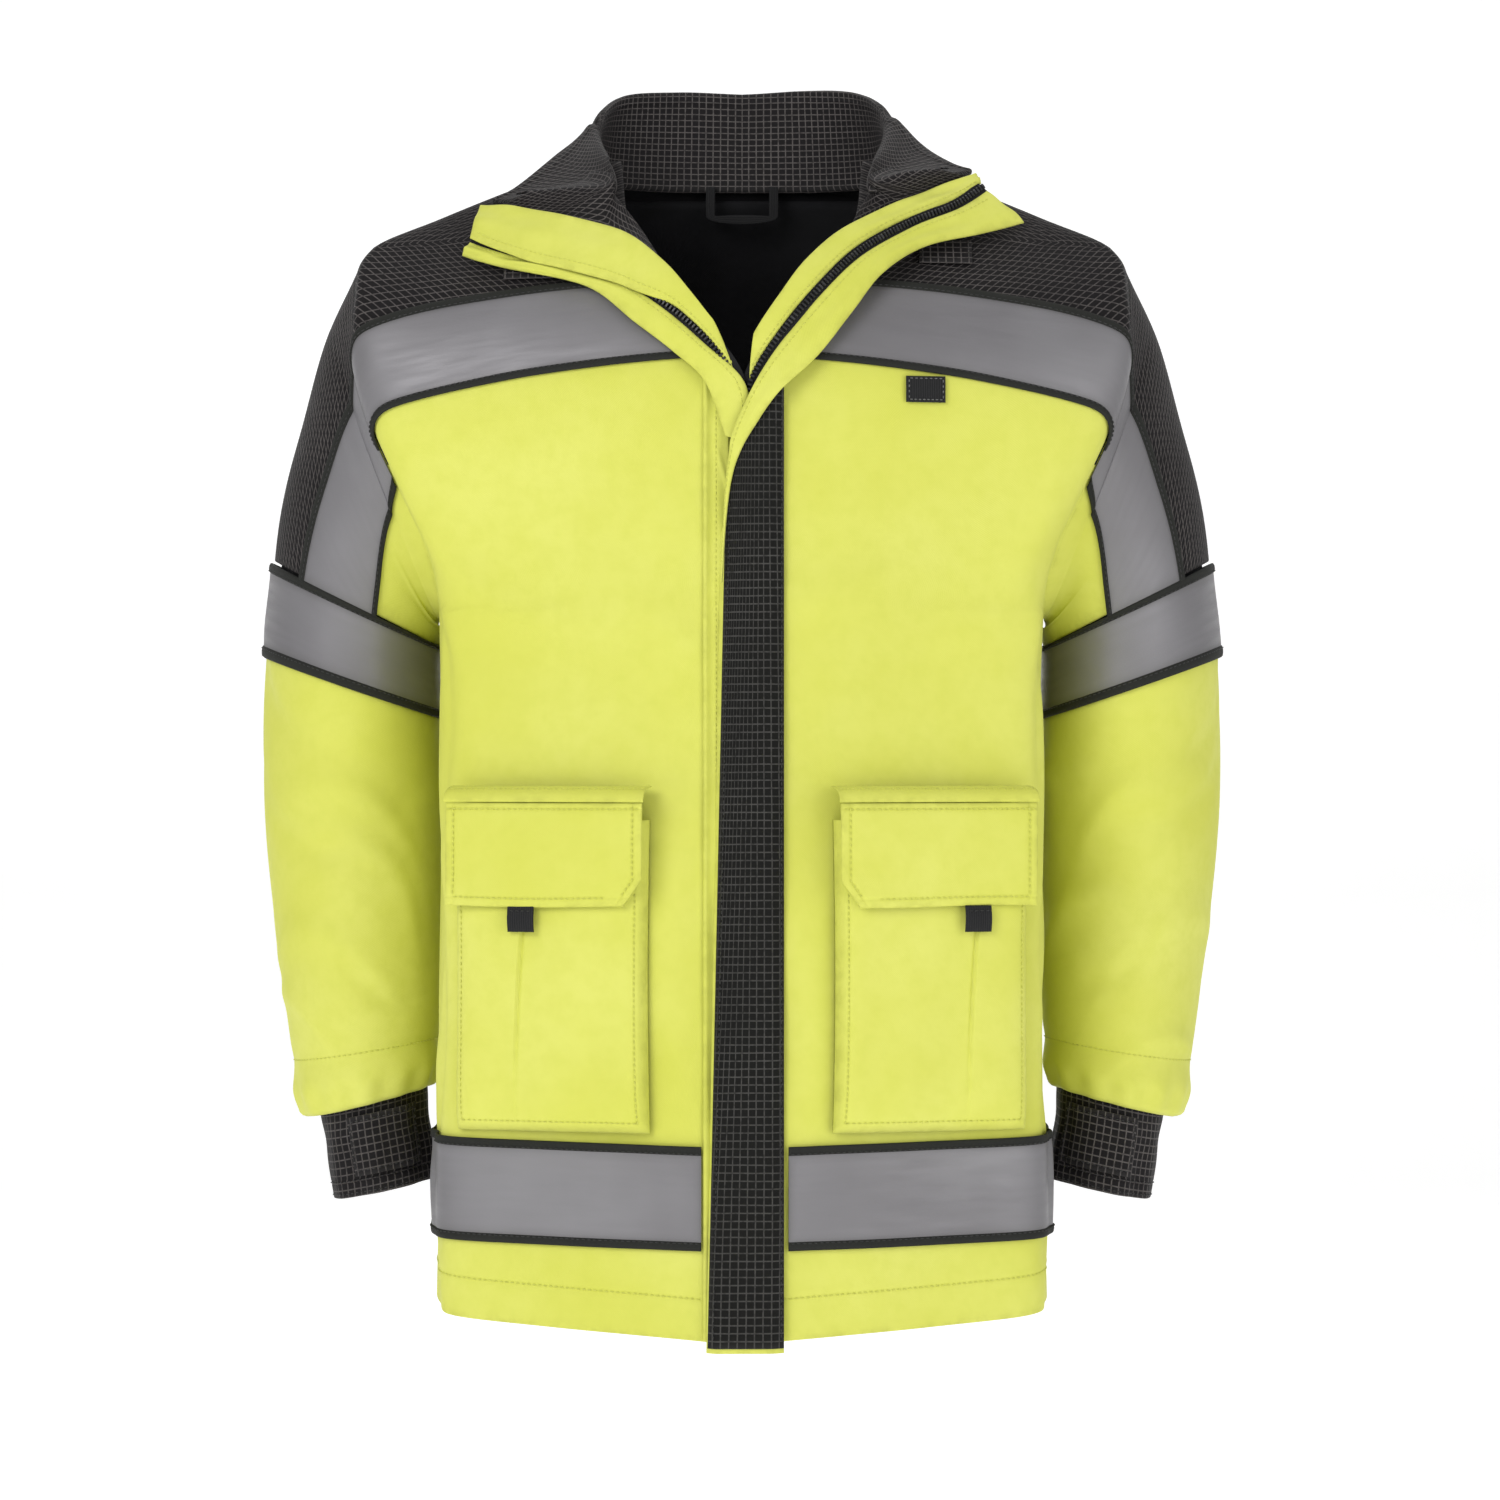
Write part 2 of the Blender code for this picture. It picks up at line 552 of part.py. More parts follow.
def collar():
    for name, lift, material in (("collar_facing", 0.0, grid_black()),
                                 ("collar_outer", COLLAR_OUTER_LIFT, grid_black())):
        def surface(c, r, extra):
            low = collar_line(RIGHT_COLLAR_LOW, LEFT_COLLAR_LOW, c)
            high = collar_line(RIGHT_COLLAR_TOP, LEFT_COLLAR_TOP, c)
            near, far = max(c - 0.004, 0), min(c + 0.004, 1)
            ahead = (collar_line(RIGHT_COLLAR_LOW, LEFT_COLLAR_LOW, far)
                     + collar_line(RIGHT_COLLAR_TOP, LEFT_COLLAR_TOP, far)
                     - collar_line(RIGHT_COLLAR_LOW, LEFT_COLLAR_LOW, near)
                     - collar_line(RIGHT_COLLAR_TOP, LEFT_COLLAR_TOP, near))
            normal = (high - low).cross(ahead).normalized()
            return mix(low, high, r) + normal * (lift + extra)

        sheet(name, surface, 28, 3, SHELL, material)


def box(name, body, size, centre, material, place=None):
    """A rectangular piece, in the coat's frame or in one of its own."""
    made = bmesh.new()
    bmesh.ops.create_cube(made, size=1.0)
    bmesh.ops.scale(made, vec=size, verts=made.verts)
    bmesh.ops.translate(made, vec=centre, verts=made.verts)
    mesh = bpy.data.meshes.new(name)
    made.to_mesh(mesh)
    made.free()
    if place is not None:
        mesh.transform(place)
    return add(name, body, mesh, material)


def storm_flap():
    """The flap over the zip, sewn down the wearer's left front, arched over the zip."""
    def place(c, height, lift):
        free = mix(*FLAP_FREE_X, height / FLAP_TOP_HEIGHT)
        rise = min(c / 0.22, 1.0, (1 - c) / 0.16)
        arch = FLAP_ARCH * math.sin(max(rise, 0.0) * math.pi / 2)
        return Vector((mix(FLAP_HINGE_X, free, c), FLAP_BASE_Y - arch - lift, height))

    def top(c):
        return mix(FLAP_TOP_HEIGHT, FLAP_FREE_TOP_HEIGHT, c**1.35)

    def outside(c, r, lift):
        return place(c, mix(FLAP_BOTTOM, top(c) - 0.002, r), lift + 0.0016)

    def facing(c, r, lift):
        return place(c, mix(FLAP_BOTTOM + 0.0005, top(c) - 0.004, r), lift)

    sheet("storm_flap", outside, 8, 5, 0.0012, grid_black(), "storm_flap")
    sheet("storm_flap_facing", facing, 8, 5, 0.0008, yellow(), "storm_flap")
    box("placket_loop_strip", None, (0.008, 0.0008, 0.440), (-0.0125, -0.1524, HEM + 0.255), hook_black())


def placket():
    """The stitched strip along the wearer's right front, under the flap's free edge."""
    def surface(c, r, lift):
        height = mix(0.0245, 0.560, r)
        return torso(around_at(mix(-0.0218, -0.0075, c), height), height, ON_SHELL - 0.0006 + lift)

    sheet("placket_right", surface, 2, 5, THIN, yellow())


def zip_chain(side, word, points):
    """One side's row of teeth, as a plain cord: straight to the V, then along the lapel."""
    curve = bpy.data.curves.new(f"zip_teeth_{word}", "CURVE")
    curve.dimensions = "3D"
    curve.bevel_depth = CHAIN_RADIUS
    curve.bevel_resolution = 1
    curve.use_fill_caps = True
    path = [Vector((side * CHAIN_X, ZIP_Y, BOX_TOP + 0.001)), Vector((side * CHAIN_X, ZIP_Y, 0.30))]
    path += [along_curve(points, share / 16) for share in range(0, 17)]
    spline = curve.splines.new("POLY")
    spline.points.add(len(path) - 1)
    for point, place in zip(spline.points, path):
        point.co = (place.x, place.y, place.z + HEM, 1.0)
    made = bpy.data.objects.new(f"zip_teeth_{word}", curve)
    curve.materials.append(black_resin())
    COAT.objects.link(made)


def zip_parts():
    zip_chain(RIGHT, "right", RIGHT_ZIP)
    zip_chain(LEFT, "left", LEFT_ZIP)
    for side, word in SIDES:
        box(f"zip_tape_{word}", None, (0.0100, 0.0006, 0.508),
            (side * 0.0087, ZIP_Y + 0.0008, HEM + 0.297), lining_black())
    box("zip_box", None, (0.0090, 0.0040, 0.0120), (0, ZIP_Y, HEM + BOX_TOP - 0.006), black_resin())
    slider()


def joined(name, body, pieces, material):
    """Several boxes of (size, centre) made one solid."""
    whole = None
    for k, (size, centre) in enumerate(pieces):
        piece = box(f"{name}_{k}", None, size, centre, material)
        if whole is None:
            whole = piece
            continue
        COAT.objects.unlink(piece)
        CUTTERS.objects.link(piece)
        piece.hide_render = True
        piece.display_type = "WIRE"
        union = whole.modifiers.new(f"join_{k}", "BOOLEAN")
        union.operation = "UNION"
        union.object = piece
    bpy.context.view_layer.update()
    solid = bpy.data.meshes.new_from_object(whole.evaluated_get(bpy.context.evaluated_depsgraph_get()))
    bpy.data.objects.remove(whole)
    return add(name, body, solid, material)


def slider():
    """Front and back plates round the two chains, the post between them, and the hanging pull."""
    z = HEM + SLIDER_HEIGHT
    front, back = ZIP_Y - 0.0021, ZIP_Y + 0.0026
    pieces = [((0.0092, 0.0011, 0.0130), (0, front, z)),
              ((0.0092, 0.0011, 0.0130), (0, back, z)),
              ((0.0014, 0.0050, 0.0040), (0, (front + back) / 2, z + 0.0045)),
              ((0.0012, 0.0016, 0.0012), (-0.0026, front - 0.0010, z + 0.0050)),
              ((0.0012, 0.0016, 0.0012), (0.0026, front - 0.0010, z + 0.0050)),
              ((0.0060, 0.0008, 0.0010), (0, front - 0.0017, z + 0.0050))]
    joined("zip_slider", "zip_slider", pieces, black_resin())
    box("zip_pull", "zip_pull", (0.0036, 0.0010, 0.0240), (0, front - 0.0014, z - 0.0080),
        black_resin())


def pocket_place(side):
    """Where a pocket's own frame stands: its top edge's middle, turned to face outwards."""
    pivot = Vector((side * POCKET_PIVOT[0], POCKET_PIVOT[1], HEM + POCKET_PIVOT[2]))
    return Matrix.Translation(pivot) @ Matrix.Rotation(math.radians(side * POCKET_FACING), 4, "Z")


def pocket(side, word):
    """A bellows pocket with an open top, under a bevelled flap that lifts about its top edge."""
    half, top, bottom = POCKET_WIDTH / 2, -POCKET_MOUTH, -POCKET_MOUTH - POCKET_HEIGHT
    bag = bmesh.new()
    corners = [bag.verts.new((x, 0.0, z)) for x, z in ((-half + 0.001, top), (half - 0.001, top),
                                                     (half - 0.001, bottom), (-half + 0.001, bottom))]
    backs_of = [bag.verts.new((v.co.x, POCKET_DEPTH, v.co.z)) for v in corners]
    bag.faces.new(corners)
    for a, b in ((1, 2), (2, 3), (3, 0)):
        bag.faces.new((corners[b], corners[a], backs_of[a], backs_of[b]))
    bmesh.ops.recalc_face_normals(bag, faces=bag.faces)
    mesh = bpy.data.meshes.new(f"pocket_{word}")
    bag.to_mesh(mesh)
    bag.free()
    mesh.transform(pocket_place(side))
    made = add(f"pocket_{word}", None, mesh, yellow())
    walls = made.modifiers.new("thickness", "SOLIDIFY")
    walls.thickness = SHELL
    walls.offset = 1.0 if mesh.polygons[0].normal.y > 0 else -1.0
    walls.use_even_offset = True
    outline = [(-side * half, 0), (side * half, 0), (side * half, -FLAP_DEPTH),
               (-side * (half - 0.012), -FLAP_DEPTH), (-side * half, -FLAP_DEPTH + 0.016)]
    flap = plate(outline, FLAP_THICKNESS)
    flap.transform(pocket_place(side) @ Matrix.Translation((0, FLAP_Y, 0)))
    add(f"pocket_flap_{word}", f"pocket_flap_{word}", flap, yellow())
    box(f"pocket_pull_tab_{word}", f"pocket_flap_{word}", (0.0165, 0.0012, 0.0150),
        (PULL_TAB_X[side], FLAP_Y, -FLAP_DEPTH - 0.0079), hook_black(), pocket_place(side))


def plate(outline, thickness):
    """A flat outline in X and Z, made a plate."""
    curve = bpy.data.curves.new("outline", "CURVE")
    curve.dimensions = "2D"
    curve.fill_mode = "BOTH"
    curve.extrude = thickness / 2
    spline = curve.splines.new("POLY")
    spline.points.add(len(outline) - 1)
    for point, (x, z) in zip(spline.points, outline):
        point.co = (x, z, 0, 1)
    spline.use_cyclic_u = True
    flat = bpy.data.objects.new("outline", curve)
    COAT.objects.link(flat)
    bpy.context.view_layer.update()
    mesh = bpy.data.meshes.new_from_object(flat.evaluated_get(bpy.context.evaluated_depsgraph_get()))
    bpy.data.objects.remove(flat)
    welded = bmesh.new()
    welded.from_mesh(mesh)
    bmesh.ops.remove_doubles(welded, verts=welded.verts, dist=0.00001)
    welded.to_mesh(mesh)
    welded.free()
    mesh.transform(Matrix.Rotation(math.radians(90), 4, "X"))
    return mesh


def tabs():
    """The microphone tabs on the yokes and the blank label tab under the left chest tape."""
    places = (("mic_tab_right", RIGHT, (0.112, 0.142), (0.652, 0.668), grid_black()),
              ("mic_tab_left", LEFT, (0.106, 0.138), (0.662, 0.677), grid_black()),
              ("label_tab", LEFT, (0.0965, 0.1200), (0.5770, 0.5925), hook_black()))
    for name, side, span, heights, material in places:
        def surface(c, r, lift):
            height = mix(*heights, r)
            return torso(around_at(side * mix(*span, c), height), height, ON_SHELL + lift)

        sheet(name, surface, 2, 1, THIN, material)


def lining():
    """One shell of lining inside the coat, cut open at both armholes."""
    torso_sheet("body_lining", lambda h: neck_edge(RIGHT, h, LINING_MARGIN),
                lambda h: neck_edge(LEFT, h, LINING_MARGIN), level(LINING_SPAN[0]),
                level(LINING_SPAN[1]), UNDER_SHELL, 34, LINING_LEVELS, THIN, lining_black())
    shell = COAT.objects["body_lining"]
    cut = bmesh.new()
    bmesh.ops.create_cone(cut, cap_ends=True, segments=20, radius1=1, radius2=1, depth=2)
    bmesh.ops.scale(cut, vec=(*LINING_HOLE, 0.12), verts=cut.verts)
    mesh = bpy.data.meshes.new("armhole_cutter")
    cut.to_mesh(mesh)
    cut.free()
    for side, word in SIDES:
        cutter = bpy.data.objects.new(f"armhole_cutter_{word}", mesh)
        cutter.location = (side * 0.25, -0.010, HEM + ARMHOLE_MIDDLE)
        cutter.rotation_euler = (0, math.radians(90), 0)
        cutter.hide_render = True
        cutter.display_type = "WIRE"
        CUTTERS.objects.link(cutter)
        hole = shell.modifiers.new(f"armhole_{word}", "BOOLEAN")
        hole.operation = "DIFFERENCE"
        hole.object = cutter


def hanger_loop():
    """The loop inside the back of the neck, hanging from its two sewn ends."""
    outline = [(-0.023, 0), (-0.017, 0), (-0.017, -0.018), (0.017, -0.018), (0.017, 0), (0.023, 0),
               (0.023, -0.024), (-0.023, -0.024)]
    loop = plate(outline, 0.0012)
    loop.transform(Matrix.Translation((0, HANGER[0], HEM + HANGER[1])))
    add("hanger_loop", "hanger_loop", loop, hook_black())


def pivots():
    """An empty on each moving piece's joint axis."""
    places = {
        "storm_flap": (FLAP_HINGE_X, FLAP_BASE_Y, HEM + 0.28),
        "zip_slider": (0, ZIP_Y, HEM + SLIDER_HEIGHT),
        "zip_pull": (0, ZIP_Y - 0.0035, HEM + SLIDER_HEIGHT + 0.005),
        "hanger_loop": (0, HANGER[0], HEM + HANGER[1]),
    }
    for side, word in SIDES:
        shoulder = armhole_point(side, 0.0)
        strap = lifted(lambda s, a: cuff_point(side, s, a), 1.4, math.radians(STRAP_SPAN[1]), STRAP_LIFT)
        places[f"sleeve_{word}"] = (shoulder.x, shoulder.y, HEM + shoulder.z)
        places[f"cuff_strap_{word}"] = (strap.x, strap.y, HEM + strap.z)
        places[f"pocket_flap_{word}"] = pocket_place(side) @ Vector((0, FLAP_Y, 0))
    for name, place in places.items():
        empty = bpy.data.objects.new(f"{name}_pivot", None)
        empty.empty_display_size = 0.02
        empty.location = place
        COAT.objects.link(empty)
        PIVOTS[name] = empty
    bpy.context.view_layer.update()


for old in list(bpy.data.objects):
    bpy.data.objects.remove(old)
COAT = bpy.data.collections.new("turnout_coat")
CUTTERS = bpy.data.collections.new("cutters")
bpy.context.scene.collection.children.link(COAT)
bpy.context.scene.collection.children.link(CUTTERS)
PIVOTS = {}

pivots()
fronts()
backs()
sleeves()
armhole_gussets()
lapels()
collar()
storm_flap()
placket()
zip_parts()
for pocket_side, pocket_word in SIDES:
    pocket(pocket_side, pocket_word)
tabs()
lining()
hanger_loop()
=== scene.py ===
"""The looks of a high-visibility turnout coat: its cloth, tapes, seams, zip, pockets and collar.

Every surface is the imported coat's own: the torso, the sleeves, the cuffs and the open collar, given
here again as smooth tables. Heights are measured up from the hem level, as they are in the model.
"""

import math

import bmesh
import bpy
import numpy as np
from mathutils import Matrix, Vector


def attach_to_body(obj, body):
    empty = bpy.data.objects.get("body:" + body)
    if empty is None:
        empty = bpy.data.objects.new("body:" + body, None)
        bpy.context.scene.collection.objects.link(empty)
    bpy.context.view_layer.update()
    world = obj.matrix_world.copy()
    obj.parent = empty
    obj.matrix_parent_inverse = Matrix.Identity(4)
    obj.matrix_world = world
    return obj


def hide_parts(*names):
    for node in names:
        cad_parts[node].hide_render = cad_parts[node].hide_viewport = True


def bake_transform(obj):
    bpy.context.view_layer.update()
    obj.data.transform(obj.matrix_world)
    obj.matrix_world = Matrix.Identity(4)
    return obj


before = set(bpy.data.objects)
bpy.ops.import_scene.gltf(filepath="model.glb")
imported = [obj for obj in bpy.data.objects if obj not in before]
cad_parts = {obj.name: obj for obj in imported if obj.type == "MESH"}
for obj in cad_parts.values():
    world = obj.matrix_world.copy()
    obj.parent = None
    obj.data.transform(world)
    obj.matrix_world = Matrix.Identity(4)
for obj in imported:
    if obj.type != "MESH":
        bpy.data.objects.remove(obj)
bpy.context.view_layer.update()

# ---------------------------------------------------------------- the coat's shared surfaces
RIGHT, LEFT = -1, 1
SIDES = ((RIGHT, "right"), (LEFT, "left"))
HEM = -0.700
NECK_HEIGHT = 0.735
ARMPIT_HEIGHT = 0.455
SHOULDER_HEIGHT = 0.676
V_HEIGHT = 0.585
HEM_HEIGHT = (0.0225, 0.0450, 0.0330)    # at the centre front, at the sides and at the centre back
SEAM = 0.0004
ON_SHELL = 0.0022            # how far a tape or tab lies out from the shell
TAPE_WIDTH = 0.0615
EDGING = 0.0054


def mm(*rows):
    """Rows of values given in millimetres, in metres."""
    return tuple(tuple(value / 1000 for value in row) for row in rows)


# height, half width, depth in front, depth behind
TORSO = mm((0, 184, 150, 126), (200, 182, 150, 126), (360, 181, 150, 129), (455, 183, 150, 132),
           (490, 190, 150, 132), (530, 208, 150, 131), (570, 226, 149, 128), (610, 236, 142, 122),
           (645, 236, 124, 110), (676, 227.5, 94, 93), (695, 187, 78, 84), (715, 140, 63, 76),
           (735, 87, 52, 66))
# shares of the half width and of the depth, from the centre front round to the centre back
SECTION = (
    (0.00, -1.000), (0.26, -0.990), (0.62, -0.868), (0.94, -0.745), (0.99, -0.560), (1.00, -0.270),
    (0.965, 0.150), (0.85, 0.560), (0.60, 0.870), (0.28, 0.985), (0.00, 1.000),
)
ARMHOLE_CENTRE = 0.53
ARMHOLE_REACH = 0.16
ARMHOLE_MIDDLE = (SHOULDER_HEIGHT + ARMPIT_HEIGHT) / 2
ARMHOLE_HALF = (SHOULDER_HEIGHT - ARMPIT_HEIGHT) / 2
LINING_SPAN = (0.05, 0.722)
LINING_HOLE = (0.126, 0.100)
ZIP_GROOVE = 0.0065
# height and distance from the centre; for the chest's seam, the distance first
NECKLINE = mm((585, 4), (617, 22), (640, 35), (662, 53), (680, 64), (700, 70), (718, 72), (735, 74))
CHEST_SEAM = mm((0, 630), (60, 625.8), (90, 622.2), (130, 614.3), (168, 603), (186, 596.5), (207, 584.5),
                (240, 566))
CHEST_TAPE_RISE = 0.0490
BACK_TAPE_RISE = 0.0580
BACK_SEAM = 0.600
HEM_DEPTH = 0.024            # from the hem's edge to its row of stitches
YOKE_TOP = 0.7315
HEM_TAPE_START = {RIGHT: 0.0235, LEFT: 0.0275}
HEM_TAPE_HEIGHT = (0.0775, 0.0835)

# station, then the ring's centre (x, y, height), half width, half depth and tilt in degrees
SLEEVE = (
    (0, 0.2040, -0.012, 0.5655, 0.1130, 0.080, 12.0), (1, 0.2200, -0.006, 0.5430, 0.0968, 0.080, 19.9),
    (2, 0.2305, 0.002, 0.5080, 0.0744, 0.077, 34.9), (3, 0.2388, 0.010, 0.4620, 0.0575, 0.074, 63.1),
    (4, 0.2420, 0.016, 0.4105, 0.0578, 0.072, 70.3), (5, 0.2412, 0.020, 0.3200, 0.0559, 0.068, 85.0),
    (6, 0.2350, 0.012, 0.2200, 0.0490, 0.060, 95.0), (7, 0.2315, 0.004, 0.1540, 0.0425, 0.051, 103.0),
)
CUFF = (
    (0, 0.2315, 0.004, 0.1900, 0.0345, 0.042, 103.0), (1, 0.2275, 0.002, 0.1500, 0.0340, 0.041, 103.0),
    (2, 0.2205, 0.000, 0.1015, 0.0325, 0.038, 102.0),
)
ALL_ROUND = ((0, 360), (0, 360))
# degrees round the sleeve, from and to, at the armhole or seam and at the arm band
FRONT_TAPE = ((68, 108), (55, 109))
BACK_TAPE = ((252, 292), (251, 305))
SLEEVE_TOP = (-88, 88)
SLEEVE_BAND_TOP = (-82, 82)
BAND_START = 3.0
BAND_END = 4.0
STRAP_SPAN = (66, 134)
STRAP_LIFT = 0.0042
STRAP_ROOT = 10              # degrees of strap past its hinge, sewn down to the cuff

# each lapel's free edge, its zip and its facing's inner edge, from the V outwards
RIGHT_EDGE = mm((-8, -155.5, 566), (-21.5, -154.5, 588), (-40, -151.5, 606), (-64, -144, 625),
                (-90, -127, 646), (-128, -112, 657), (-152, -101, 663), (-168, -93, 669))
RIGHT_ZIP = mm((-2.2, -147.8, 566), (-4, -152.5, 590), (-20, -153, 613), (-44, -146, 634), (-70, -134, 650),
               (-107, -117, 661), (-134, -105, 668), (-162, -90, 680))
RIGHT_INNER = mm((-6, -154, 606), (-18, -153, 625), (-30, -148, 642), (-46, -138, 661), (-70, -122, 679),
                 (-105, -101, 690), (-135, -83, 697), (-158, -69, 699))
LEFT_EDGE = mm((4, -164, 560), (22, -162, 582), (45, -156, 604), (66, -146, 631), (84, -131, 655),
               (108, -110, 672), (142, -90, 682), (171, -74, 691))
LEFT_ZIP = mm((2.2, -147.8, 566), (6, -152.5, 590), (22.5, -153, 616), (46, -145, 644), (70, -127, 668),
              (100, -103, 687), (128, -84, 700), (146, -69, 713))
LEFT_INNER = mm((3, -153, 606), (9, -153, 620), (22, -148, 640), (38, -138, 662), (60, -121, 682),
                (90, -96, 699), (116, -76, 711), (142, -60, 722))
# the collar's seam and its free edge, from each wing's point to the centre back
RIGHT_COLLAR_LOW = mm((-150, -67, 702), (-105, -88, 702), (-77, -93, 704), (-80, -65, 727), (-92, -18, 734.5),
                      (-85.5, 33, 732.7), (-50, 62, 732.7), (0, 68.5, 732.7))
RIGHT_COLLAR_TOP = mm((-156, -58, 704), (-137, -40, 718), (-115, -17, 738), (-98, 9, 755), (-90, 35, 773),
                      (-75, 70, 787), (-43, 95, 791), (0, 102, 791))
LEFT_COLLAR_LOW = mm((135, -59, 720), (102, -83, 713), (77, -93, 706)) + tuple(
    (-x, y, height) for x, y, height in RIGHT_COLLAR_LOW[3:])
LEFT_COLLAR_TOP = mm((145, -46, 726), (129, -30, 733), (114, -11, 744), (100, 11, 759), (89, 37, 777),
                     (71.5, 70, 789), (40, 95, 792), (0, 102, 791))
COLLAR_DEPTH = 0.0046

FLAP_HINGE_X = 0.0250
FLAP_TOP_HEIGHT = 0.583
FLAP_BOTTOM = 0.0190
FLAP_FREE_TOP_HEIGHT = 0.500
FLAP_BASE_Y = -0.1535
FLAP_ARCH = 0.0040
FLAP_FREE_X = (-0.0210, -0.0110)

ZIP_Y = -0.1478
CHAIN_X = 0.0022
BOX_TOP = 0.042

POCKET_FACING = 16.5
POCKET_PIVOT = (0.1150, -0.1475, 0.3410)
POCKET_WIDTH = 0.122
FLAP_DEPTH = 0.061
POCKET_HEIGHT = 0.1845
POCKET_DEPTH = 0.0150
POCKET_MOUTH = 0.010
FLAP_Y = -0.0055
PULL_TAB_X = {RIGHT: -0.0135, LEFT: 0.0235}
HANGER = (0.0560, 0.728)


def table(rows, key):
    """Values of a smooth curve through rows of (key, values...), at every key of an array."""
    rows = np.asarray(rows, float)
    key = np.clip(np.asarray(key, float), rows[0, 0], rows[-1, 0])[..., None]
    last = len(rows) - 1
    k = np.clip(np.searchsorted(rows[:, 0], key[..., 0], side="left") - 1, 0, last - 1)
    before, low, high = rows[np.maximum(k - 1, 0)], rows[k], rows[k + 1]
    after = rows[np.minimum(k + 2, last)]
    span = high[..., :1] - low[..., :1]
    t = (key - low[..., :1]) / span
    rise = (high - before) / (high[..., :1] - before[..., :1]) * span
    run = (after - low) / (after[..., :1] - low[..., :1]) * span
    value = (low * (2 * t**3 - 3 * t**2 + 1) + rise * (t**3 - 2 * t**2 + t)
             + high * (3 * t**2 - 2 * t**3) + run * (t**3 - t**2))
    return value[..., 1:]


def keyed(points):
    return [(k, *point) for k, point in enumerate(points)]


def along_curve(points, share):
    return table(keyed(points), np.asarray(share, float) * (len(points) - 1))


def mix(low, high, share):
    return low + (high - low) * share


def smooth(low, high, value):
    """0 below low, 1 above high, and smooth between them."""
    t = np.clip((value - low) / (high - low), 0, 1)
    return t * t * (3 - 2 * t)


def bump(value, centre, reach):
    return np.exp(-((value - centre) / reach) ** 2)


def unit(vectors):
    return vectors / np.maximum(np.linalg.norm(vectors, axis=-1, keepdims=True), 1e-9)


MIRRORED_SECTION = ([(-1, -SECTION[1][0], SECTION[1][1])] + keyed(SECTION)
                    + [(len(SECTION), -SECTION[-2][0], SECTION[-2][1])])


def torso_point(around, height):
    """around is 0 at centre back, 1 or -1 at centre front, positive on the wearer's left."""
    around, height = np.broadcast_arrays(np.asarray(around, float), np.asarray(height, float))
    share = table(MIRRORED_SECTION, (1 - np.abs(around)) * (len(SECTION) - 1))
    width, front, back = np.moveaxis(table(TORSO, height), -1, 0)
    depth = np.where(share[..., 1] < 0, front, back)
    side = np.where(around < 0, -1.0, 1.0)
    return np.stack([side * width * share[..., 0], depth * share[..., 1], height], -1)


def torso(around, height, lift=0.0):
    """The draped torso surface, lifted outwards."""
    step = 0.001
    point = torso_point(around, height)
    across = torso_point(around + step, height) - torso_point(around - step, height)
    low, high = np.maximum(height - step, 0.0), np.minimum(height + step, NECK_HEIGHT)
    normal = unit(np.cross(across, torso_point(around, high) - torso_point(around, low)))
    flip = np.sum(normal[..., :2] * point[..., :2], -1, keepdims=True) < 0
    normal = np.where(flip, -normal, normal)
    return point + normal * (lift + torso_drape(around, height))[..., None]


def around_at(x, height):
    """Where on the front half the torso is this far from the centre."""
    x, height = np.broadcast_arrays(np.asarray(x, float), np.asarray(height, float))
    low, high = np.full(x.shape, 0.5), np.full(x.shape, 1.0)
    for _ in range(22):
        middle = (low + high) / 2
        outside = np.abs(torso_point(middle, height)[..., 0]) > np.abs(x)
        low, high = np.where(outside, middle, low), np.where(outside, high, middle)
    return np.copysign(low, x)


def armhole_edge(side, height, facing, gap=SEAM):
    share = (height - ARMHOLE_MIDDLE) / ARMHOLE_HALF
    reach = ARMHOLE_REACH * np.sqrt(np.maximum(0.0, 1 - share * share))
    return side * (1 - ARMHOLE_CENTRE + facing * (reach + 2 * gap))


def front_end(side, facing=1):
    """The side seam up to the armpit, then the armhole, then the shoulder seam."""
    def edge(height):
        plain = side * (1 - ARMHOLE_CENTRE + facing * SEAM)
        inside = (height > ARMPIT_HEIGHT) & (height < SHOULDER_HEIGHT)
        return np.where(inside, armhole_edge(side, height, facing), plain)

    return edge


def neck_edge(side, height, margin=0.0):
    """The front opening: the zip's groove up to the V, then the neckline."""
    x = np.full(np.shape(height), ZIP_GROOVE + margin)
    x = np.where(height > V_HEIGHT, np.maximum(x, table(NECKLINE, height)[..., 0] + margin), x)
    return around_at(side * x, height)


def ring_point(rows, side, station, angle):
    """Point of a tilted oval ring: angle 0 at the top or outside, 90 degrees at the front."""
    x, y, height, reach, depth, tilt = np.moveaxis(table(rows, station), -1, 0)
    tilt = np.radians(tilt)
    out = reach * np.cos(angle)
    return np.stack([side * (x + np.sin(tilt) * out), y - depth * np.sin(angle),
                     height + np.cos(tilt) * out], -1)


def armhole_point(side, angle, lift=0.0, margin=0.0):
    """Point of the armhole seam: angle 0 at the shoulder, 90 degrees at the front."""
    height = ARMHOLE_MIDDLE + (ARMHOLE_HALF + margin) * np.cos(angle)
    around = side * (1 - ARMHOLE_CENTRE + (ARMHOLE_REACH + 2 * margin) * np.sin(angle))
    return torso(around, height, lift)


def sleeve_point(side, station, angle):
    """The sleeve leaves the armhole seam and settles into its own rings."""
    station, angle = np.broadcast_arrays(np.asarray(station, float), np.asarray(angle, float))
    point = ring_point(SLEEVE, side, station, angle)
    near = station < 1
    if near.any():
        round_at = angle[near]
        start = armhole_point(side, round_at) - ring_point(SLEEVE, side, 0 * round_at, round_at)
        point[near] += start * (1 - station[near])[:, None]
    return point


def cuff_point(side, station, angle):
    station, angle = np.broadcast_arrays(np.asarray(station, float), np.asarray(angle, float))
    return ring_point(CUFF, side, station, angle)


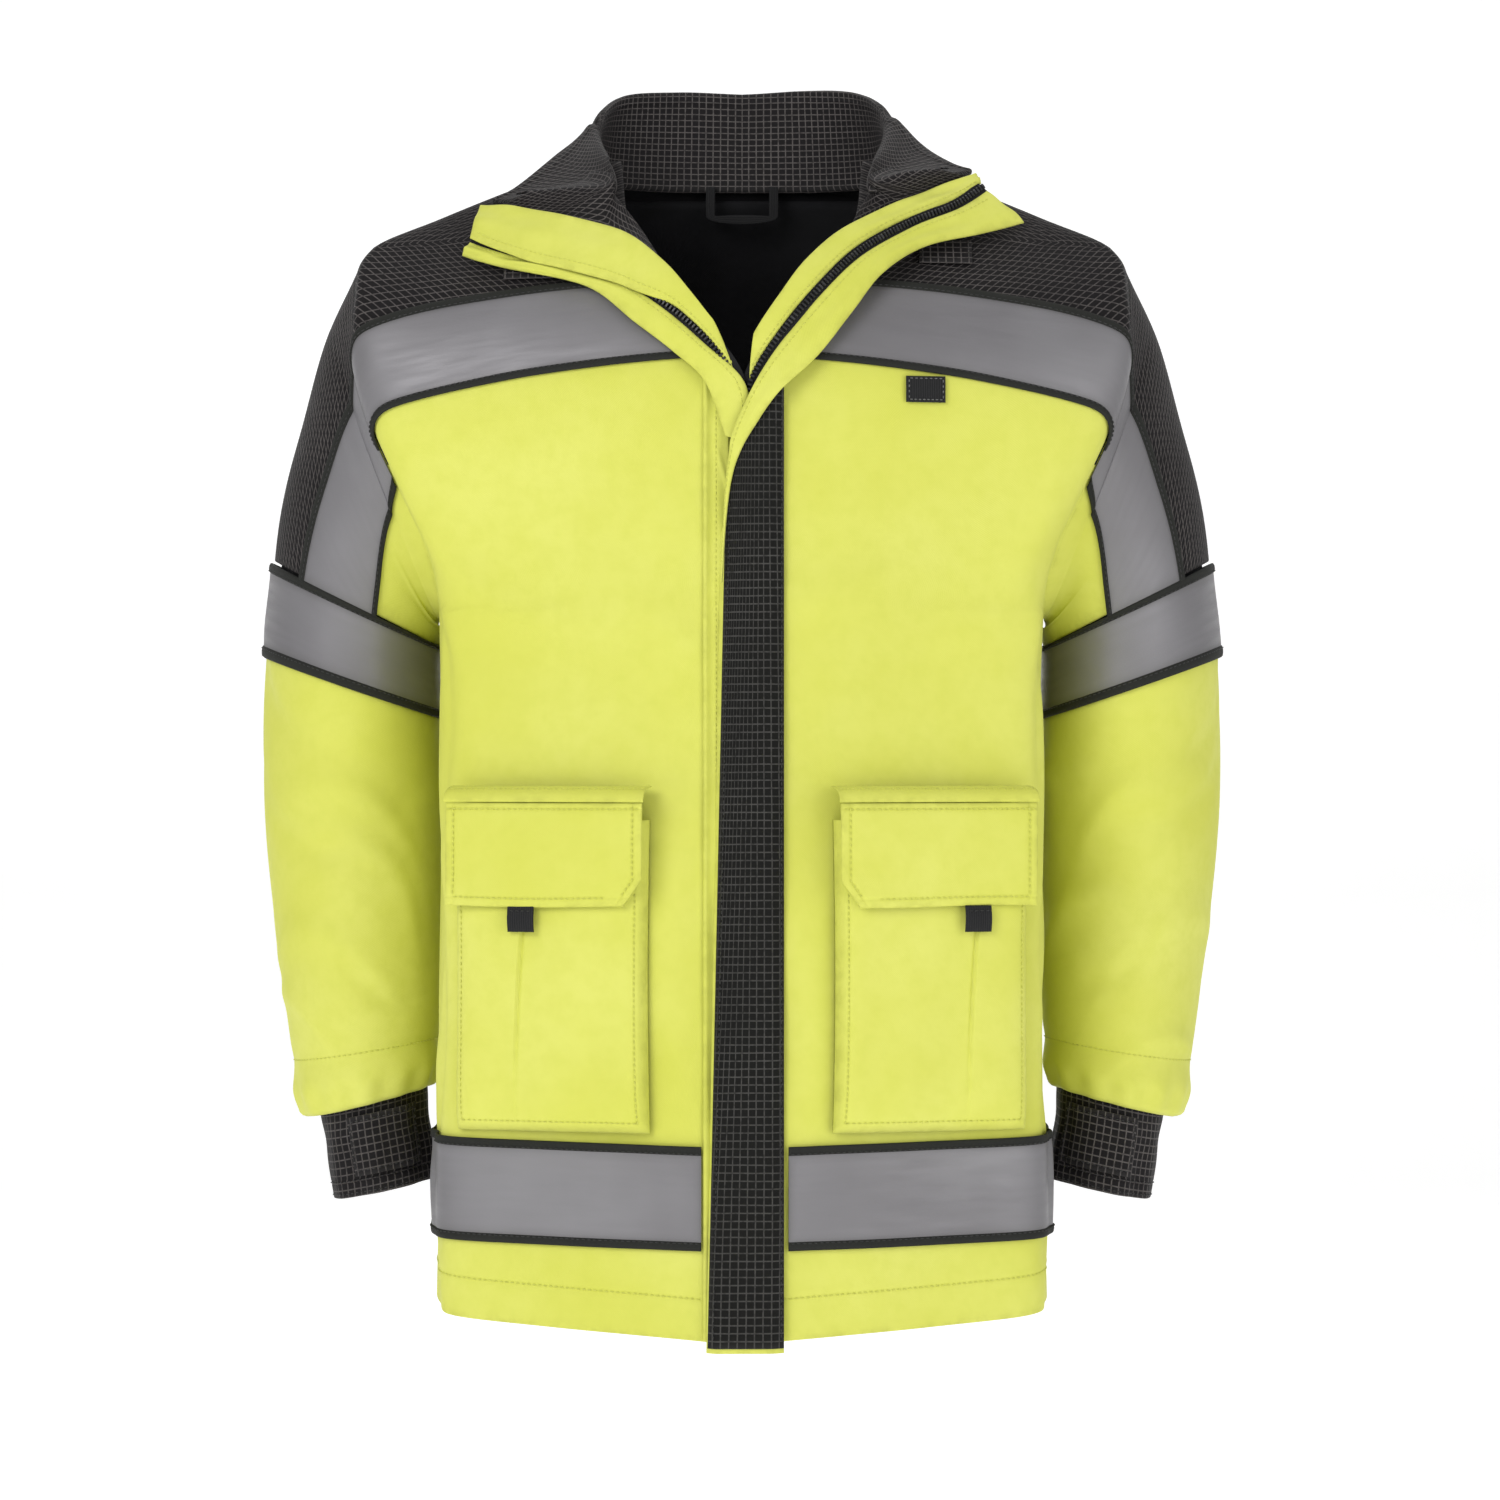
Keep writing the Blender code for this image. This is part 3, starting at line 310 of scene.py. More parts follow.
def lifted(place, station, angle, lift):
    """A point of a tube surface, moved out along its normal."""
    down = place(station + 0.02, angle) - place(np.maximum(station - 0.02, 0.0), angle)
    turn = place(station, angle + 0.01) - place(station, angle - 0.01)
    normal = unit(np.cross(down, turn))
    centre = (place(station, angle) + place(station, angle + math.pi)) / 2
    point = place(station, angle)
    flip = np.sum(normal * (point - centre), -1, keepdims=True) < 0
    return point + np.where(flip, -normal, normal) * np.asarray(lift)[..., None]


# ---------------------------------------------------------------- how the cloth hangs
HALF_GIRTH = 0.54            # metres from centre back to centre front
METRES_PER_DEGREE = 0.00105  # round the arm
METRES_PER_STATION = 0.085   # down the arm
# place round in metres from the centre front, height, turn in degrees from upright, half length,
# half width, rise: broad soft folds of the body
BODY_FOLDS = (
    (0.060, 0.455, 62, 0.070, 0.014, 0.0030), (0.085, 0.405, 54, 0.080, 0.017, -0.0026),
    (0.150, 0.470, 35, 0.060, 0.012, 0.0034), (0.185, 0.420, 20, 0.070, 0.013, -0.0030),
    (0.205, 0.350, 8, 0.090, 0.014, 0.0032), (0.050, 0.250, -10, 0.110, 0.016, 0.0028),
    (0.200, 0.210, -6, 0.090, 0.014, -0.0030), (0.225, 0.130, 4, 0.080, 0.013, 0.0034),
    (0.055, 0.110, 12, 0.060, 0.018, -0.0022), (0.290, 0.320, 10, 0.110, 0.018, 0.0036),
    (0.330, 0.180, -8, 0.100, 0.018, -0.0034), (0.380, 0.420, 26, 0.080, 0.017, 0.0036),
    (0.410, 0.280, -14, 0.110, 0.020, 0.0034), (0.455, 0.150, 8, 0.090, 0.018, -0.0032),
    (0.480, 0.500, 70, 0.080, 0.016, 0.0026), (0.500, 0.360, 6, 0.110, 0.018, 0.0030),
)
# station, degrees round, turn in degrees from along the arm, half length, half width, rise
SLEEVE_FOLDS = (
    (4.45, 40, 62, 0.045, 0.009, -0.0034), (4.70, 96, 70, 0.040, 0.010, 0.0036),
    (5.00, 60, 80, 0.045, 0.009, -0.0034), (5.25, 120, 64, 0.036, 0.010, 0.0034),
    (5.55, 66, 76, 0.050, 0.009, 0.0030), (5.90, 100, 58, 0.034, 0.008, -0.0028),
    (6.15, 50, 70, 0.036, 0.008, 0.0028), (4.60, 200, 66, 0.044, 0.010, 0.0034),
    (5.10, 250, 74, 0.050, 0.010, -0.0034), (5.60, 215, 60, 0.044, 0.009, 0.0030),
    (5.20, 320, 70, 0.044, 0.010, 0.0028), (5.80, 300, -64, 0.040, 0.009, -0.0028),
    (2.30, 180, 30, 0.040, 0.010, 0.0026), (2.60, 230, -24, 0.040, 0.010, -0.0024),
)
# the body that cloth leaves, where it leaves it, and where it has turned with the next body altogether
BENDS = {"storm_flap": ("coat_body", (0.0265, 0, 0), (0.0190, 0, 0))}
for _side, _word in SIDES:
    BENDS[f"sleeve_{_word}"] = ("coat_body", (_side * 0.1400, 0, HEM + 0.3830),
                                (_side * 0.2353, 0, HEM + 0.3187))
    BENDS[f"pocket_flap_{_word}"] = ("coat_body", (0, 0, HEM + 0.3440), (0, 0, HEM + 0.3310))
    BENDS[f"cuff_strap_{_word}"] = (f"sleeve_{_word}",) + tuple(
        lifted(lambda s, a: cuff_point(_side, s, a), 1.4, math.radians(STRAP_SPAN[1] + past), 0.0030)
        + (0, 0, HEM) for past in (4, -5))


def fold_wave(folds, x, y, side):
    """Sum of broad folds at x, y in metres; the two sides of the coat differ a little."""
    wave = np.zeros(np.broadcast(x, y).shape)
    for k, (fold_x, fold_y, turn, length, width, rise) in enumerate(folds):
        swing = math.sin(2.1 * k + 1.3)
        turned = np.radians(turn + 9 * swing * side)
        dx, dy = x - fold_x - 0.010 * swing * side, y - fold_y - 0.012 * swing * side
        along, across = np.sin(turned) * dx + np.cos(turned) * dy, np.cos(turned) * dx - np.sin(turned) * dy
        across = across + 0.35 * along**2 / length * np.sign(rise)
        wave = wave + rise * np.exp(-(along / length) ** 2 - (across / width) ** 2)
    return wave


def torso_drape(around, height):
    """Lift of the soft folds at a place on the torso."""
    around, height = np.broadcast_arrays(np.asarray(around, float), np.asarray(height, float))
    side = np.where(around < 0, -1.0, 1.0)
    x = (1 - np.abs(around)) * HALF_GIRTH
    wave = fold_wave(BODY_FOLDS, x, height, side)
    held = smooth(0.0, 0.045, x) * (1 - smooth(0.52, 0.60, height))
    pocket = bump(x, 0.115, 0.075) ** 2 * smooth(0.13, 0.18, height) * (1 - smooth(0.32, 0.36, height))
    wave = wave * held * (1 - 0.8 * pocket)
    return wave + 0.0016 * np.sin(around * 23 + 1.2) * (1 - smooth(0.0, 0.16, height)) * held


def draped_sleeve(side, station, angle, lift):
    """The sleeve surface with its folds, lifted outwards."""
    station, angle = np.broadcast_arrays(np.asarray(station, float), np.asarray(angle, float))
    wave = np.zeros(station.shape)
    turn = np.degrees(angle) % 360
    for wrap in (-360, 0, 360):
        folds = [((degrees + wrap) * METRES_PER_DEGREE, at * METRES_PER_STATION, tilt, length, width, rise)
                 for at, degrees, tilt, length, width, rise in SLEEVE_FOLDS]
        wave = wave + fold_wave(folds, turn * METRES_PER_DEGREE, station * METRES_PER_STATION, side)
    free = smooth(0.4, 1.2, station) * (1 - 0.75 * bump(station, 3.5, 0.55))
    return lifted(lambda s, a: sleeve_point(side, s, a), station, angle, lift + wave * free)


# ---------------------------------------------------------------- materials
def feed(socket, value):
    """Link another node's output to a socket, or set the socket to a number or colour."""
    if isinstance(value, bpy.types.NodeSocket):
        socket.id_data.links.new(value, socket)
    else:
        socket.default_value = value


def put(tree, kind, settings=(), **inputs):
    """A node with its settings and inputs."""
    made = tree.nodes.new(kind)
    for key, value in dict(settings).items():
        setattr(made, key, value)
    for key, value in inputs.items():
        feed(made.inputs[key.replace("_", " ")], value)
    return made


def maths(operation, first, *others):
    """A math node; the first value is another node's output."""
    made = put(first.id_data, "ShaderNodeMath", {"operation": operation})
    for socket, value in zip(made.inputs, (first, *others)):
        feed(socket, value)
    return made.outputs[0]


def times(first, second):
    return maths("MULTIPLY", first, second)


def plus(first, second):
    return maths("ADD", first, second)


def mixed(share, low, high):
    """Colour between two, by a share from 0 to 1."""
    made = put(share.id_data, "ShaderNodeMix", {"data_type": "RGBA"})
    for k, value in ((0, share), (6, low), (7, high)):
        feed(made.inputs[k], (*value, 1.0) if isinstance(value, tuple) else value)
    return made.outputs[2]


def ranged(value, low, high, out_low=0.0, out_high=1.0):
    """A value taken smoothly from one range to another."""
    made = put(value.id_data, "ShaderNodeMapRange", {"interpolation_type": "SMOOTHSTEP"}, Value=value)
    for k, number in enumerate((low, high, out_low, out_high)):
        made.inputs[1 + k].default_value = number
    return made.outputs[0]


def noise(vector, scale, detail=2.0, roughness=0.5):
    return put(vector.id_data, "ShaderNodeTexNoise", (), Vector=vector, Scale=scale, Detail=detail,
               Roughness=roughness).outputs["Fac"]


def wave_of(coordinate, pitch):
    return maths("SINE", times(coordinate, 2 * math.pi / pitch))


def line_grid(coordinate, pitch, half_width, soft):
    """1 on lines this far apart, 0 between them."""
    return ranged(maths("PINGPONG", coordinate, pitch / 2), half_width, half_width + soft, 1.0, 0.0)


def started(name, slot):
    """A new material, its node tree, the cloth's own u and v in metres, and the place in space."""
    made = bpy.data.materials.new(name)
    made.use_nodes = True
    made["slot"] = slot
    tree = made.node_tree
    uv = put(tree, "ShaderNodeUVMap", {"uv_map": "UVMap"}).outputs[0]
    split = put(tree, "ShaderNodeSeparateXYZ", (), Vector=uv)
    place = put(tree, "ShaderNodeTexCoord").outputs["Object"]
    return made, tree, uv, split.outputs[0], split.outputs[1], place


def finished(made, colour, height, distance, roughness, strength, **settings):
    """The material with its colour, its bump from a height, its roughness and its other settings."""
    bumps = put(made.node_tree, "ShaderNodeBump", (), Height=height, Distance=distance, Strength=strength)
    settings.update(Base_Color=colour, Normal=bumps.outputs[0], Roughness=roughness)
    for key, value in settings.items():
        feed(made.node_tree.nodes["Principled BSDF"].inputs[key.replace("_", " ")], value)
    return made


def scaled(colour, by):
    return tuple(by * x for x in colour)


def woven_height(u, v, pitch):
    """Over-and-under weave from two crossed waves."""
    return times(plus(times(wave_of(u, pitch), wave_of(v, pitch)), 1.0), 0.5)


def edge_wear(tree, share):
    return times(put(tree, "ShaderNodeAttribute", {"attribute_name": "edge"}).outputs["Fac"], share)


def softshell():
    """Fluorescent yellow-green softshell: a close even weave, slightly mottled, worn at its edges."""
    made, tree, uv, u, v, place = started("softshell_yellow", "hi_vis_yellow")
    weave = woven_height(u, v, 0.00125)
    broad, close = noise(place, 7.0, 3.0, 0.55), noise(place, 95.0, 3.0, 0.6)
    base = mixed(ranged(broad, 0.30, 0.72), (0.640, 0.662, 0.098), (0.708, 0.728, 0.150))
    base = mixed(ranged(close, 0.35, 0.75, 0.0, 0.28), base, (0.585, 0.620, 0.078))
    base = mixed(times(weave, 0.10), base, (0.77, 0.79, 0.24))
    base = mixed(edge_wear(tree, ranged(close, 0.40, 0.68, 0.10, 0.55)), base, (0.49, 0.50, 0.090))
    height = plus(times(weave, 0.10), times(close, 0.45))
    return finished(made, base, height, 0.0010, ranged(close, 0.2, 0.8, 0.62, 0.78), 0.55,
                    Sheen_Weight=0.05, Sheen_Roughness=0.5, Specular_IOR_Level=0.18)


def ripstop(name, pitch, line, cell=(0.0078, 0.0070, 0.0074)):
    """Black ripstop with a thin grey grid of thicker threads."""
    made, tree, uv, u, v, place = started(name, "black_ripstop")
    bend = times(maths("SUBTRACT", noise(place, 60.0, 1.0), 0.5), 0.0004)
    lines = maths("MAXIMUM", *(line_grid(plus(along, bend), apart, 0.00026, 0.00030)
                               for along, apart in zip((u, v), pitch)))
    broken = ranged(noise(place, 420.0, 2.0), 0.25, 0.62, 0.45, 1.0)
    broad = ranged(noise(place, 16.0, 2.0), 0.3, 0.7, 0.72, 1.0)
    weave = woven_height(u, v, 0.0009)
    dark = mixed(edge_wear(tree, 0.35), mixed(weave, cell, scaled(cell, 1.9)), (0.045, 0.043, 0.043))
    base = mixed(times(times(lines, broken), broad), dark, line)
    height = plus(times(lines, 0.7), times(weave, 0.25))
    return finished(made, base, height, 0.0004, ranged(weave, 0.0, 1.0, 0.58, 0.74), 0.6,
                    Specular_IOR_Level=0.10, Sheen_Weight=0.012, Sheen_Roughness=0.4)


def reflective():
    """Grey retroreflective tape: a dull metallic film of fine beads with faint creases."""
    made, tree, uv, u, v, place = started("reflective_film", "reflective_tape")
    beads, cloudy = noise(uv, 2600.0, 2.0, 0.7), noise(place, 9.0, 3.0, 0.5)
    stretched = put(tree, "ShaderNodeMapping", (), Vector=uv, Scale=(22.0, 180.0, 1.0))
    creases = noise(stretched.outputs[0], 1.0, 3.0)
    base = mixed(ranged(cloudy, 0.3, 0.7), (0.182, 0.176, 0.185), (0.232, 0.227, 0.238))
    base = mixed(ranged(beads, 0.45, 0.75, 0.0, 0.30), base, (0.32, 0.315, 0.33))
    base = mixed(edge_wear(tree, 0.45), base, (0.12, 0.116, 0.115))
    height = plus(times(beads, 0.22), times(creases, 0.30))
    return finished(made, base, height, 0.0005, ranged(creases, 0.3, 0.7, 0.42, 0.56), 0.45,
                    Metallic=0.35, Specular_IOR_Level=0.5)


def ribbed(name, slot, colour, pale, pitch):
    """Narrow woven goods: edging, webbing and binding, with ribs across them."""
    made, tree, uv, u, v, place = started(name, slot)
    ribs = maths("MULTIPLY_ADD", wave_of(u, pitch), 0.5, 0.5)
    base = mixed(ranged(noise(place, 70.0, 2.0), 0.35, 0.7, 0.0, 0.4), mixed(ribs, colour, pale),
                 scaled(colour, 1.8))
    base = mixed(edge_wear(tree, 0.3), base, scaled(colour, 2.6))
    height = plus(times(ribs, 0.5), times(woven_height(u, v, pitch * 1.6), 0.4))
    return finished(made, base, height, 0.0004, ranged(ribs, 0, 1, 0.6, 0.8), 0.6,
                    Specular_IOR_Level=0.12, Sheen_Weight=0.015)


def twill_lining():
    """Near-black lining with a fine diagonal twill and a faint shine."""
    made, tree, uv, u, v, place = started("lining_twill", "black_lining")
    ribs = maths("MULTIPLY_ADD", wave_of(plus(u, v), 0.0011), 0.5, 0.5)
    cloudy = noise(place, 26.0, 3.0)
    base = mixed(ribs, (0.0075, 0.0075, 0.0085), (0.0150, 0.0150, 0.0165))
    base = mixed(ranged(cloudy, 0.4, 0.7, 0.0, 0.5), base, (0.020, 0.020, 0.023))
    return finished(made, base, plus(ribs, cloudy), 0.0004, ranged(cloudy, 0.3, 0.7, 0.55, 0.70), 0.45,
                    Specular_IOR_Level=0.14, Sheen_Weight=0.02)


def fuzz(name, coarse):
    """Hook or loop fastener: a dark bed of tiny hooks in rows, or of tangled loops."""
    made, tree, uv, u, v, place = started(name, "hook_and_loop")
    tangle = noise(place, 900.0, 3.0, 0.8)
    hooks = times(line_grid(u, coarse, coarse * 0.22, coarse * 0.18),
                  line_grid(v, coarse * 0.8, coarse * 0.2, coarse * 0.2))
    height = plus(times(tangle, 0.8), hooks)
    base = mixed(ranged(height, 0.3, 1.2), (0.008, 0.008, 0.009), (0.050, 0.050, 0.052))
    return finished(made, base, height, 0.0008, ranged(tangle, 0.2, 0.8, 0.8, 0.95), 0.9,
                    Specular_IOR_Level=0.12, Sheen_Weight=0.06)


def resin():
    """Moulded black resin of the zip, very slightly pitted and rubbed pale at its edges."""
    made, *_, place = started("zip_resin", "moulded_resin")
    rub = noise(place, 160.0, 3.0)
    base = mixed(ranged(rub, 0.48, 0.72, 0.0, 0.55), (0.013, 0.013, 0.014), (0.060, 0.060, 0.062))
    return finished(made, base, noise(place, 1400.0, 2.0), 0.0003, ranged(rub, 0.3, 0.7, 0.30, 0.48), 0.25,
                    Specular_IOR_Level=0.5)


def thread(name, slot, colour, pale):
    """Twisted sewing thread."""
    made, *_, place = started(name, slot)
    twist = noise(place, 2400.0, 1.0)
    base = mixed(ranged(twist, 0.3, 0.7), colour, pale)
    return finished(made, base, twist, 0.0002, ranged(twist, 0.3, 0.7, 0.55, 0.7), 0.5)


YELLOW = softshell()
GRID = ripstop("ripstop_grid", (0.0047, 0.0047), (0.115, 0.104, 0.100))
YOKE_GRID = ripstop("ripstop_grid_yoke", (0.0047, 0.0064), (0.105, 0.095, 0.092))
# The storm flap's grid is a darker copy of the same ripstop: its lines and cells hold painted shade, because
# the forward-facing flap shows less sheen on its threads.
FLAP_GRID_SHADED = ripstop("ripstop_grid_flap_shaded", (0.0050, 0.0047), (0.068, 0.066, 0.062), (0.0060, 0.0060, 0.0054))
SILVER = reflective()
EDGE = ribbed("black_edging", "black_ripstop", (0.0135, 0.0140, 0.0125), (0.0270, 0.0280, 0.0250), 0.0008)
WEBBING = ribbed("black_webbing", "hook_and_loop", (0.0100, 0.0100, 0.0105), (0.0300, 0.0300, 0.0310), 0.0014)
ZIP_TAPE = ribbed("zip_tape_weave", "black_lining", (0.0090, 0.0090, 0.0095), (0.0220, 0.0220, 0.0230), 0.0009)
LINING = twill_lining()
HOOK = fuzz("hook_rows", 0.0016)
LOOP = fuzz("loop_pile", 0.0030)
RESIN = resin()
YELLOW_THREAD = thread("thread_yellow", "hi_vis_yellow", (0.57, 0.59, 0.085), (0.68, 0.70, 0.15))
BLACK_THREAD = thread("thread_black", "black_ripstop", (0.012, 0.012, 0.012), (0.045, 0.045, 0.045))
GREY_THREAD = thread("thread_grey", "reflective_tape", (0.10, 0.10, 0.10), (0.20, 0.20, 0.20))


# ---------------------------------------------------------------- making pieces
def placed(name, data):
    """A new object in the scene, holding a mesh, a light or a camera."""
    made = bpy.data.objects.new(name, data)
    bpy.context.scene.collection.objects.link(made)
    return made


def make(name, points, faces, coat, uv, edge, body="coat_body", nodes=(), inside=None):
    """A piece from arrays of points and of four-cornered faces, in heights above the hem level.

    It takes the place of the CAD nodes named, or else of the one with its own name.
    """
    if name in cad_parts:
        name, nodes = f"{name}_cloth", nodes or (name,)
    mesh = bpy.data.meshes.new(name)
    points = np.asarray(points, float) + (0, 0, HEM)
    faces = np.asarray(faces, np.int32)
    mesh.vertices.add(len(points))
    mesh.vertices.foreach_set("co", points.ravel())
    mesh.loops.add(faces.size)
    mesh.loops.foreach_set("vertex_index", faces.ravel())
    mesh.polygons.add(len(faces))
    mesh.polygons.foreach_set("loop_start", np.arange(len(faces)) * faces.shape[1])
    mesh.uv_layers.new(name="UVMap").data.foreach_set("uv", np.asarray(uv, float).ravel())
    mesh.attributes.new("edge", "FLOAT", "POINT").data.foreach_set("value", np.asarray(edge, float).ravel())
    mesh.materials.append(coat)
    if inside is not None:
        mesh.materials.append(inside[0])
        mesh.polygons.foreach_set("material_index", inside[1].astype(np.int32))
    mesh.update()
    mesh.validate()
    mesh.shade_smooth()
    made = placed(name, mesh)
    if nodes:
        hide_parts(*nodes)
    if body:
        attach(made, body)
    return made


def attach(made, body):
    """A piece of a bending body with any point short of the bend's end is only baked in place, not attached;
    any other rides its body.
    """
    if body in BENDS:
        base, start, end = BENDS[body][0], *(np.array(point, float) for point in BENDS[body][1:])
        ahead = end - start
        points = np.array([v.co for v in made.data.vertices])
        if ((points - start) @ ahead).min() < ahead @ ahead:
            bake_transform(made)
            return
    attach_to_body(made, body)


GROOVE_REACH = 0.0016        # each side of a sewn line that needs finer cells
GROOVE_WIDTH = 0.0008
WEAR_REACH = 0.0030          # from a piece's edge


def spread(count, rim, lines):
    """Grid positions from 0 to 1, closer together at the two rims and beside each sewn line."""
    inside = np.linspace(0, 1, count + 1)
    places = [0.0, 1.0]
    taken = []
    if rim:
        places += [0.12 * rim, 0.4 * rim, rim, 1 - rim, 1 - 0.4 * rim, 1 - 0.12 * rim]
        taken += [(0.0, 1.5 * rim), (1.0, 1.5 * rim)]
    for line, reach in lines:
        places += [line - reach, line - 0.45 * reach, line, line + 0.45 * reach, line + reach]
        taken.append((line, 1.4 * reach))
    places += [x for x in inside if all(abs(x - at) > gap for at, gap in taken)]
    return np.array(sorted({round(x, 9) for x in places if 0 <= x <= 1}))


def panel(name, place, cells, thickness, coat, body="coat_body", nodes=(), rim=0.0010, closed=False, shape=None,
          sewn=((), ()), inside=None, second=None, declare=True, groove=0.0005):
    """A sheet of cloth on place(c, r, lift), with rounded rims and a groove at each sewn line.

    sewn holds the lines across the sheet (shares of c) and along it (shares of r).
    """
    ends = np.linspace(0, 1, 25)
    middle = place(ends, 0 * ends + 0.5, 0 * ends), place(0 * ends + 0.5, ends, 0 * ends)
    width, length = (np.linalg.norm(np.diff(line, axis=0), axis=1).sum() for line in middle)
    reach_c, reach_r = GROOVE_REACH / width, GROOVE_REACH / length
    columns = spread(cells[0], 0 if closed else rim / width, [(x, reach_c) for x in sewn[0]])
    rows = spread(cells[1], rim / length, [(x, reach_r) for x in sewn[1]])
    r, c = np.meshgrid(rows, columns, indexing="ij")
    near_c = np.ones(c.shape) if closed else np.minimum(c, 1 - c) * width
    edge_distance = np.minimum(near_c, np.minimum(r, 1 - r) * length)
    share = np.clip(edge_distance / rim, 0, 1)
    rounded = 0.5 * thickness * (1 - np.sqrt(np.clip(1 - (1 - share) ** 2, 0, 1)))
    lift = np.zeros(c.shape)
    for x in sewn[0]:
        lift -= groove * np.exp(-((c - x) * width / GROOVE_WIDTH) ** 2)
    for x in sewn[1]:
        lift -= groove * np.exp(-((r - x) * length / GROOVE_WIDTH) ** 2)
    if shape is not None:
        lift = lift + shape(c, r)
    outer = place(c, r, lift - rounded)
    inner = place(c, r, lift - thickness + rounded)
    count_r, count_c = c.shape
    index = np.arange(count_r * count_c).reshape(c.shape)
    if closed:
        index[:, -1] = index[:, 0]
    under = index + count_r * count_c
    rim_points = np.zeros(c.shape, bool)
    rim_points[0], rim_points[-1] = True, True
    if not closed:
        rim_points[:, 0], rim_points[:, -1] = True, True
    under = np.where(rim_points, index, under)
    top, bottom = quads_of(index), quads_of(under)[:, [0, 3, 2, 1]]
    steps_u = np.linalg.norm(np.diff(outer, axis=1), axis=2)
    steps_v = np.linalg.norm(np.diff(outer, axis=0), axis=2)
    u = np.concatenate([np.zeros((count_r, 1)), np.cumsum(steps_u, 1)], 1)
    v = np.concatenate([np.zeros((1, count_c)), np.cumsum(steps_v, 0)], 0)
    u = u - u[:, [int(np.argmin(np.abs(columns - 0.5)))]]
    grid_uv = np.stack([u, v], -1)
    uv_top = np.stack(corners_of(grid_uv), 2)
    uv_bottom = uv_top[:, :, [0, 3, 2, 1]]
    points = np.concatenate([outer.reshape(-1, 3), inner.reshape(-1, 3)])
    used = np.zeros(len(points), bool)
    faces = np.concatenate([top, bottom])
    used[faces.ravel()] = True
    fresh = np.cumsum(used) - 1
    faces = fresh[faces]
    wear = np.exp(-(edge_distance / WEAR_REACH) ** 2).ravel()
    wear = np.concatenate([wear, wear])[used]
    uv = np.concatenate([uv_top.reshape(-1, 2), uv_bottom.reshape(-1, 2)])
    i, j = count_r // 2, count_c // 2
    normal = np.cross(outer[i, j] - outer[i, j - 1], outer[i, j] - outer[i - 1, j])
    if np.dot(normal, outer[i, j] - inner[i, j]) < 0:
        faces = faces[:, ::-1]
        uv = uv.reshape(-1, 4, 2)[:, ::-1].reshape(-1, 2)
    back_faces = None
    if inside is not None:
        back_faces = (inside, np.arange(len(faces)) >= len(top))
    if second is not None:
        centre = (c[:-1, :-1] + c[1:, 1:]).ravel() / 2
        back_faces = (second[0], np.tile(second[1](centre), 2)[:len(faces)])
    made = make(name, points[used], faces, coat, uv, wear, body, nodes, back_faces)
    if declare:
        area = sheet_area(outer)
    return made


def sheet_area(points):
    a, b = points[1:, 1:] - points[:-1, :-1], points[1:, :-1] - points[:-1, 1:]
    return float(np.linalg.norm(np.cross(a, b), axis=2).sum() / 2)


def corners_of(grid):
    """The four corners of every cell of a grid, in order round the cell."""
    return grid[:-1, :-1], grid[:-1, 1:], grid[1:, 1:], grid[1:, :-1]


def quads_of(index):
    return np.stack([corner.ravel() for corner in corners_of(index)], -1)


def path_on(place, c, r, lift=0.0, steps=240):
    """Points and normals along a line on a surface; c and r are numbers or (start, end)."""
    share = np.linspace(0, 1, steps)
    c = mix(*c, share) if isinstance(c, tuple) else share * 0 + c
    r = mix(*r, share) if isinstance(r, tuple) else share * 0 + r
    low, high = place(c, r, share * 0 + lift), place(c, r, share * 0 + lift + 0.0005)
    return low, unit(high - low)


SPINDLE = np.array([(0, 0, -1), (1, 0, -0.5), (0, 1, -0.5), (-1, 0, -0.5), (0, -1, -0.5),
                    (1, 0, 0.5), (0, 1, 0.5), (-1, 0, 0.5), (0, -1, 0.5), (0, 0, 1)], float)
SPINDLE_SIDES = ((1, 2, 6, 5), (2, 3, 7, 6), (3, 4, 8, 7), (4, 1, 5, 8), (0, 2, 1), (0, 3, 2), (0, 4, 3),
                 (0, 1, 4), (9, 5, 6), (9, 6, 7), (9, 7, 8), (9, 8, 5))


def run_along(line):
    """How far along a line of points each point is."""
    return np.concatenate([[0], np.cumsum(np.linalg.norm(np.diff(line, axis=0), axis=1))])


def between(at, run, rows):
    return np.stack([np.interp(at, run, rows[:, k]) for k in range(3)], -1)


def strewn(name, coat, shape, centres, axes, faces):
    """A piece of many small copies of a shape, one at each centre, turned to the axes there."""
    points = centres[:, None] + np.einsum("pk,nkx->npx", shape, np.stack(axes, 1))
    every = [tuple(len(shape) * k + x for x in face) for k in range(len(centres)) for face in faces]
    mesh = bpy.data.meshes.new(name)
    mesh.from_pydata((points.reshape(-1, 3) + (0, 0, HEM)).tolist(), [], every)
    mesh.materials.append(coat)
    made = placed(name, mesh)
    return made


def stitches(name, paths, coat, body="coat_body", pitch=0.0034, length=0.0025, width=0.00034):
    """Rows of sewn stitches: a spindle of thread for each, lying along its path."""
    rows = []
    for line, normals in paths:
        run = run_along(line)
        count = max(int(run[-1] / pitch), 1)
        at = (np.arange(count) + 0.5) * run[-1] / count
        up = unit(between(at, run, normals))
        ahead = between(at + 0.0005, run, line) - between(at - 0.0005, run, line)
        ahead = unit(ahead - up * np.sum(ahead * up, -1, keepdims=True))
        rows.append((between(at, run, line), np.cross(ahead, up), up, ahead))
    centres, *axes = (np.concatenate(part) for part in zip(*rows))
    made = strewn(name, coat, SPINDLE * (width, width * 1.4, length / 2), centres, axes, SPINDLE_SIDES)
    made.data.shade_smooth()
    if body:
        attach(made, body)
    return made


def torso_place(start, end, bottom, top, lift=0.0):
    """A torso piece from start(height) to end(height) round, and bottom(c) to top(c) up."""
    def place(c, r, extra):
        height = mix(bottom(c), top(c), r)
        return torso(mix(start(height), end(height), c), height, lift + extra)

    return place


def level(height):
    return lambda c: height + 0 * c


def chest_seam(shift):
    return lambda c: table(CHEST_SEAM, mix(0.03, 0.222, c))[..., 0] + shift


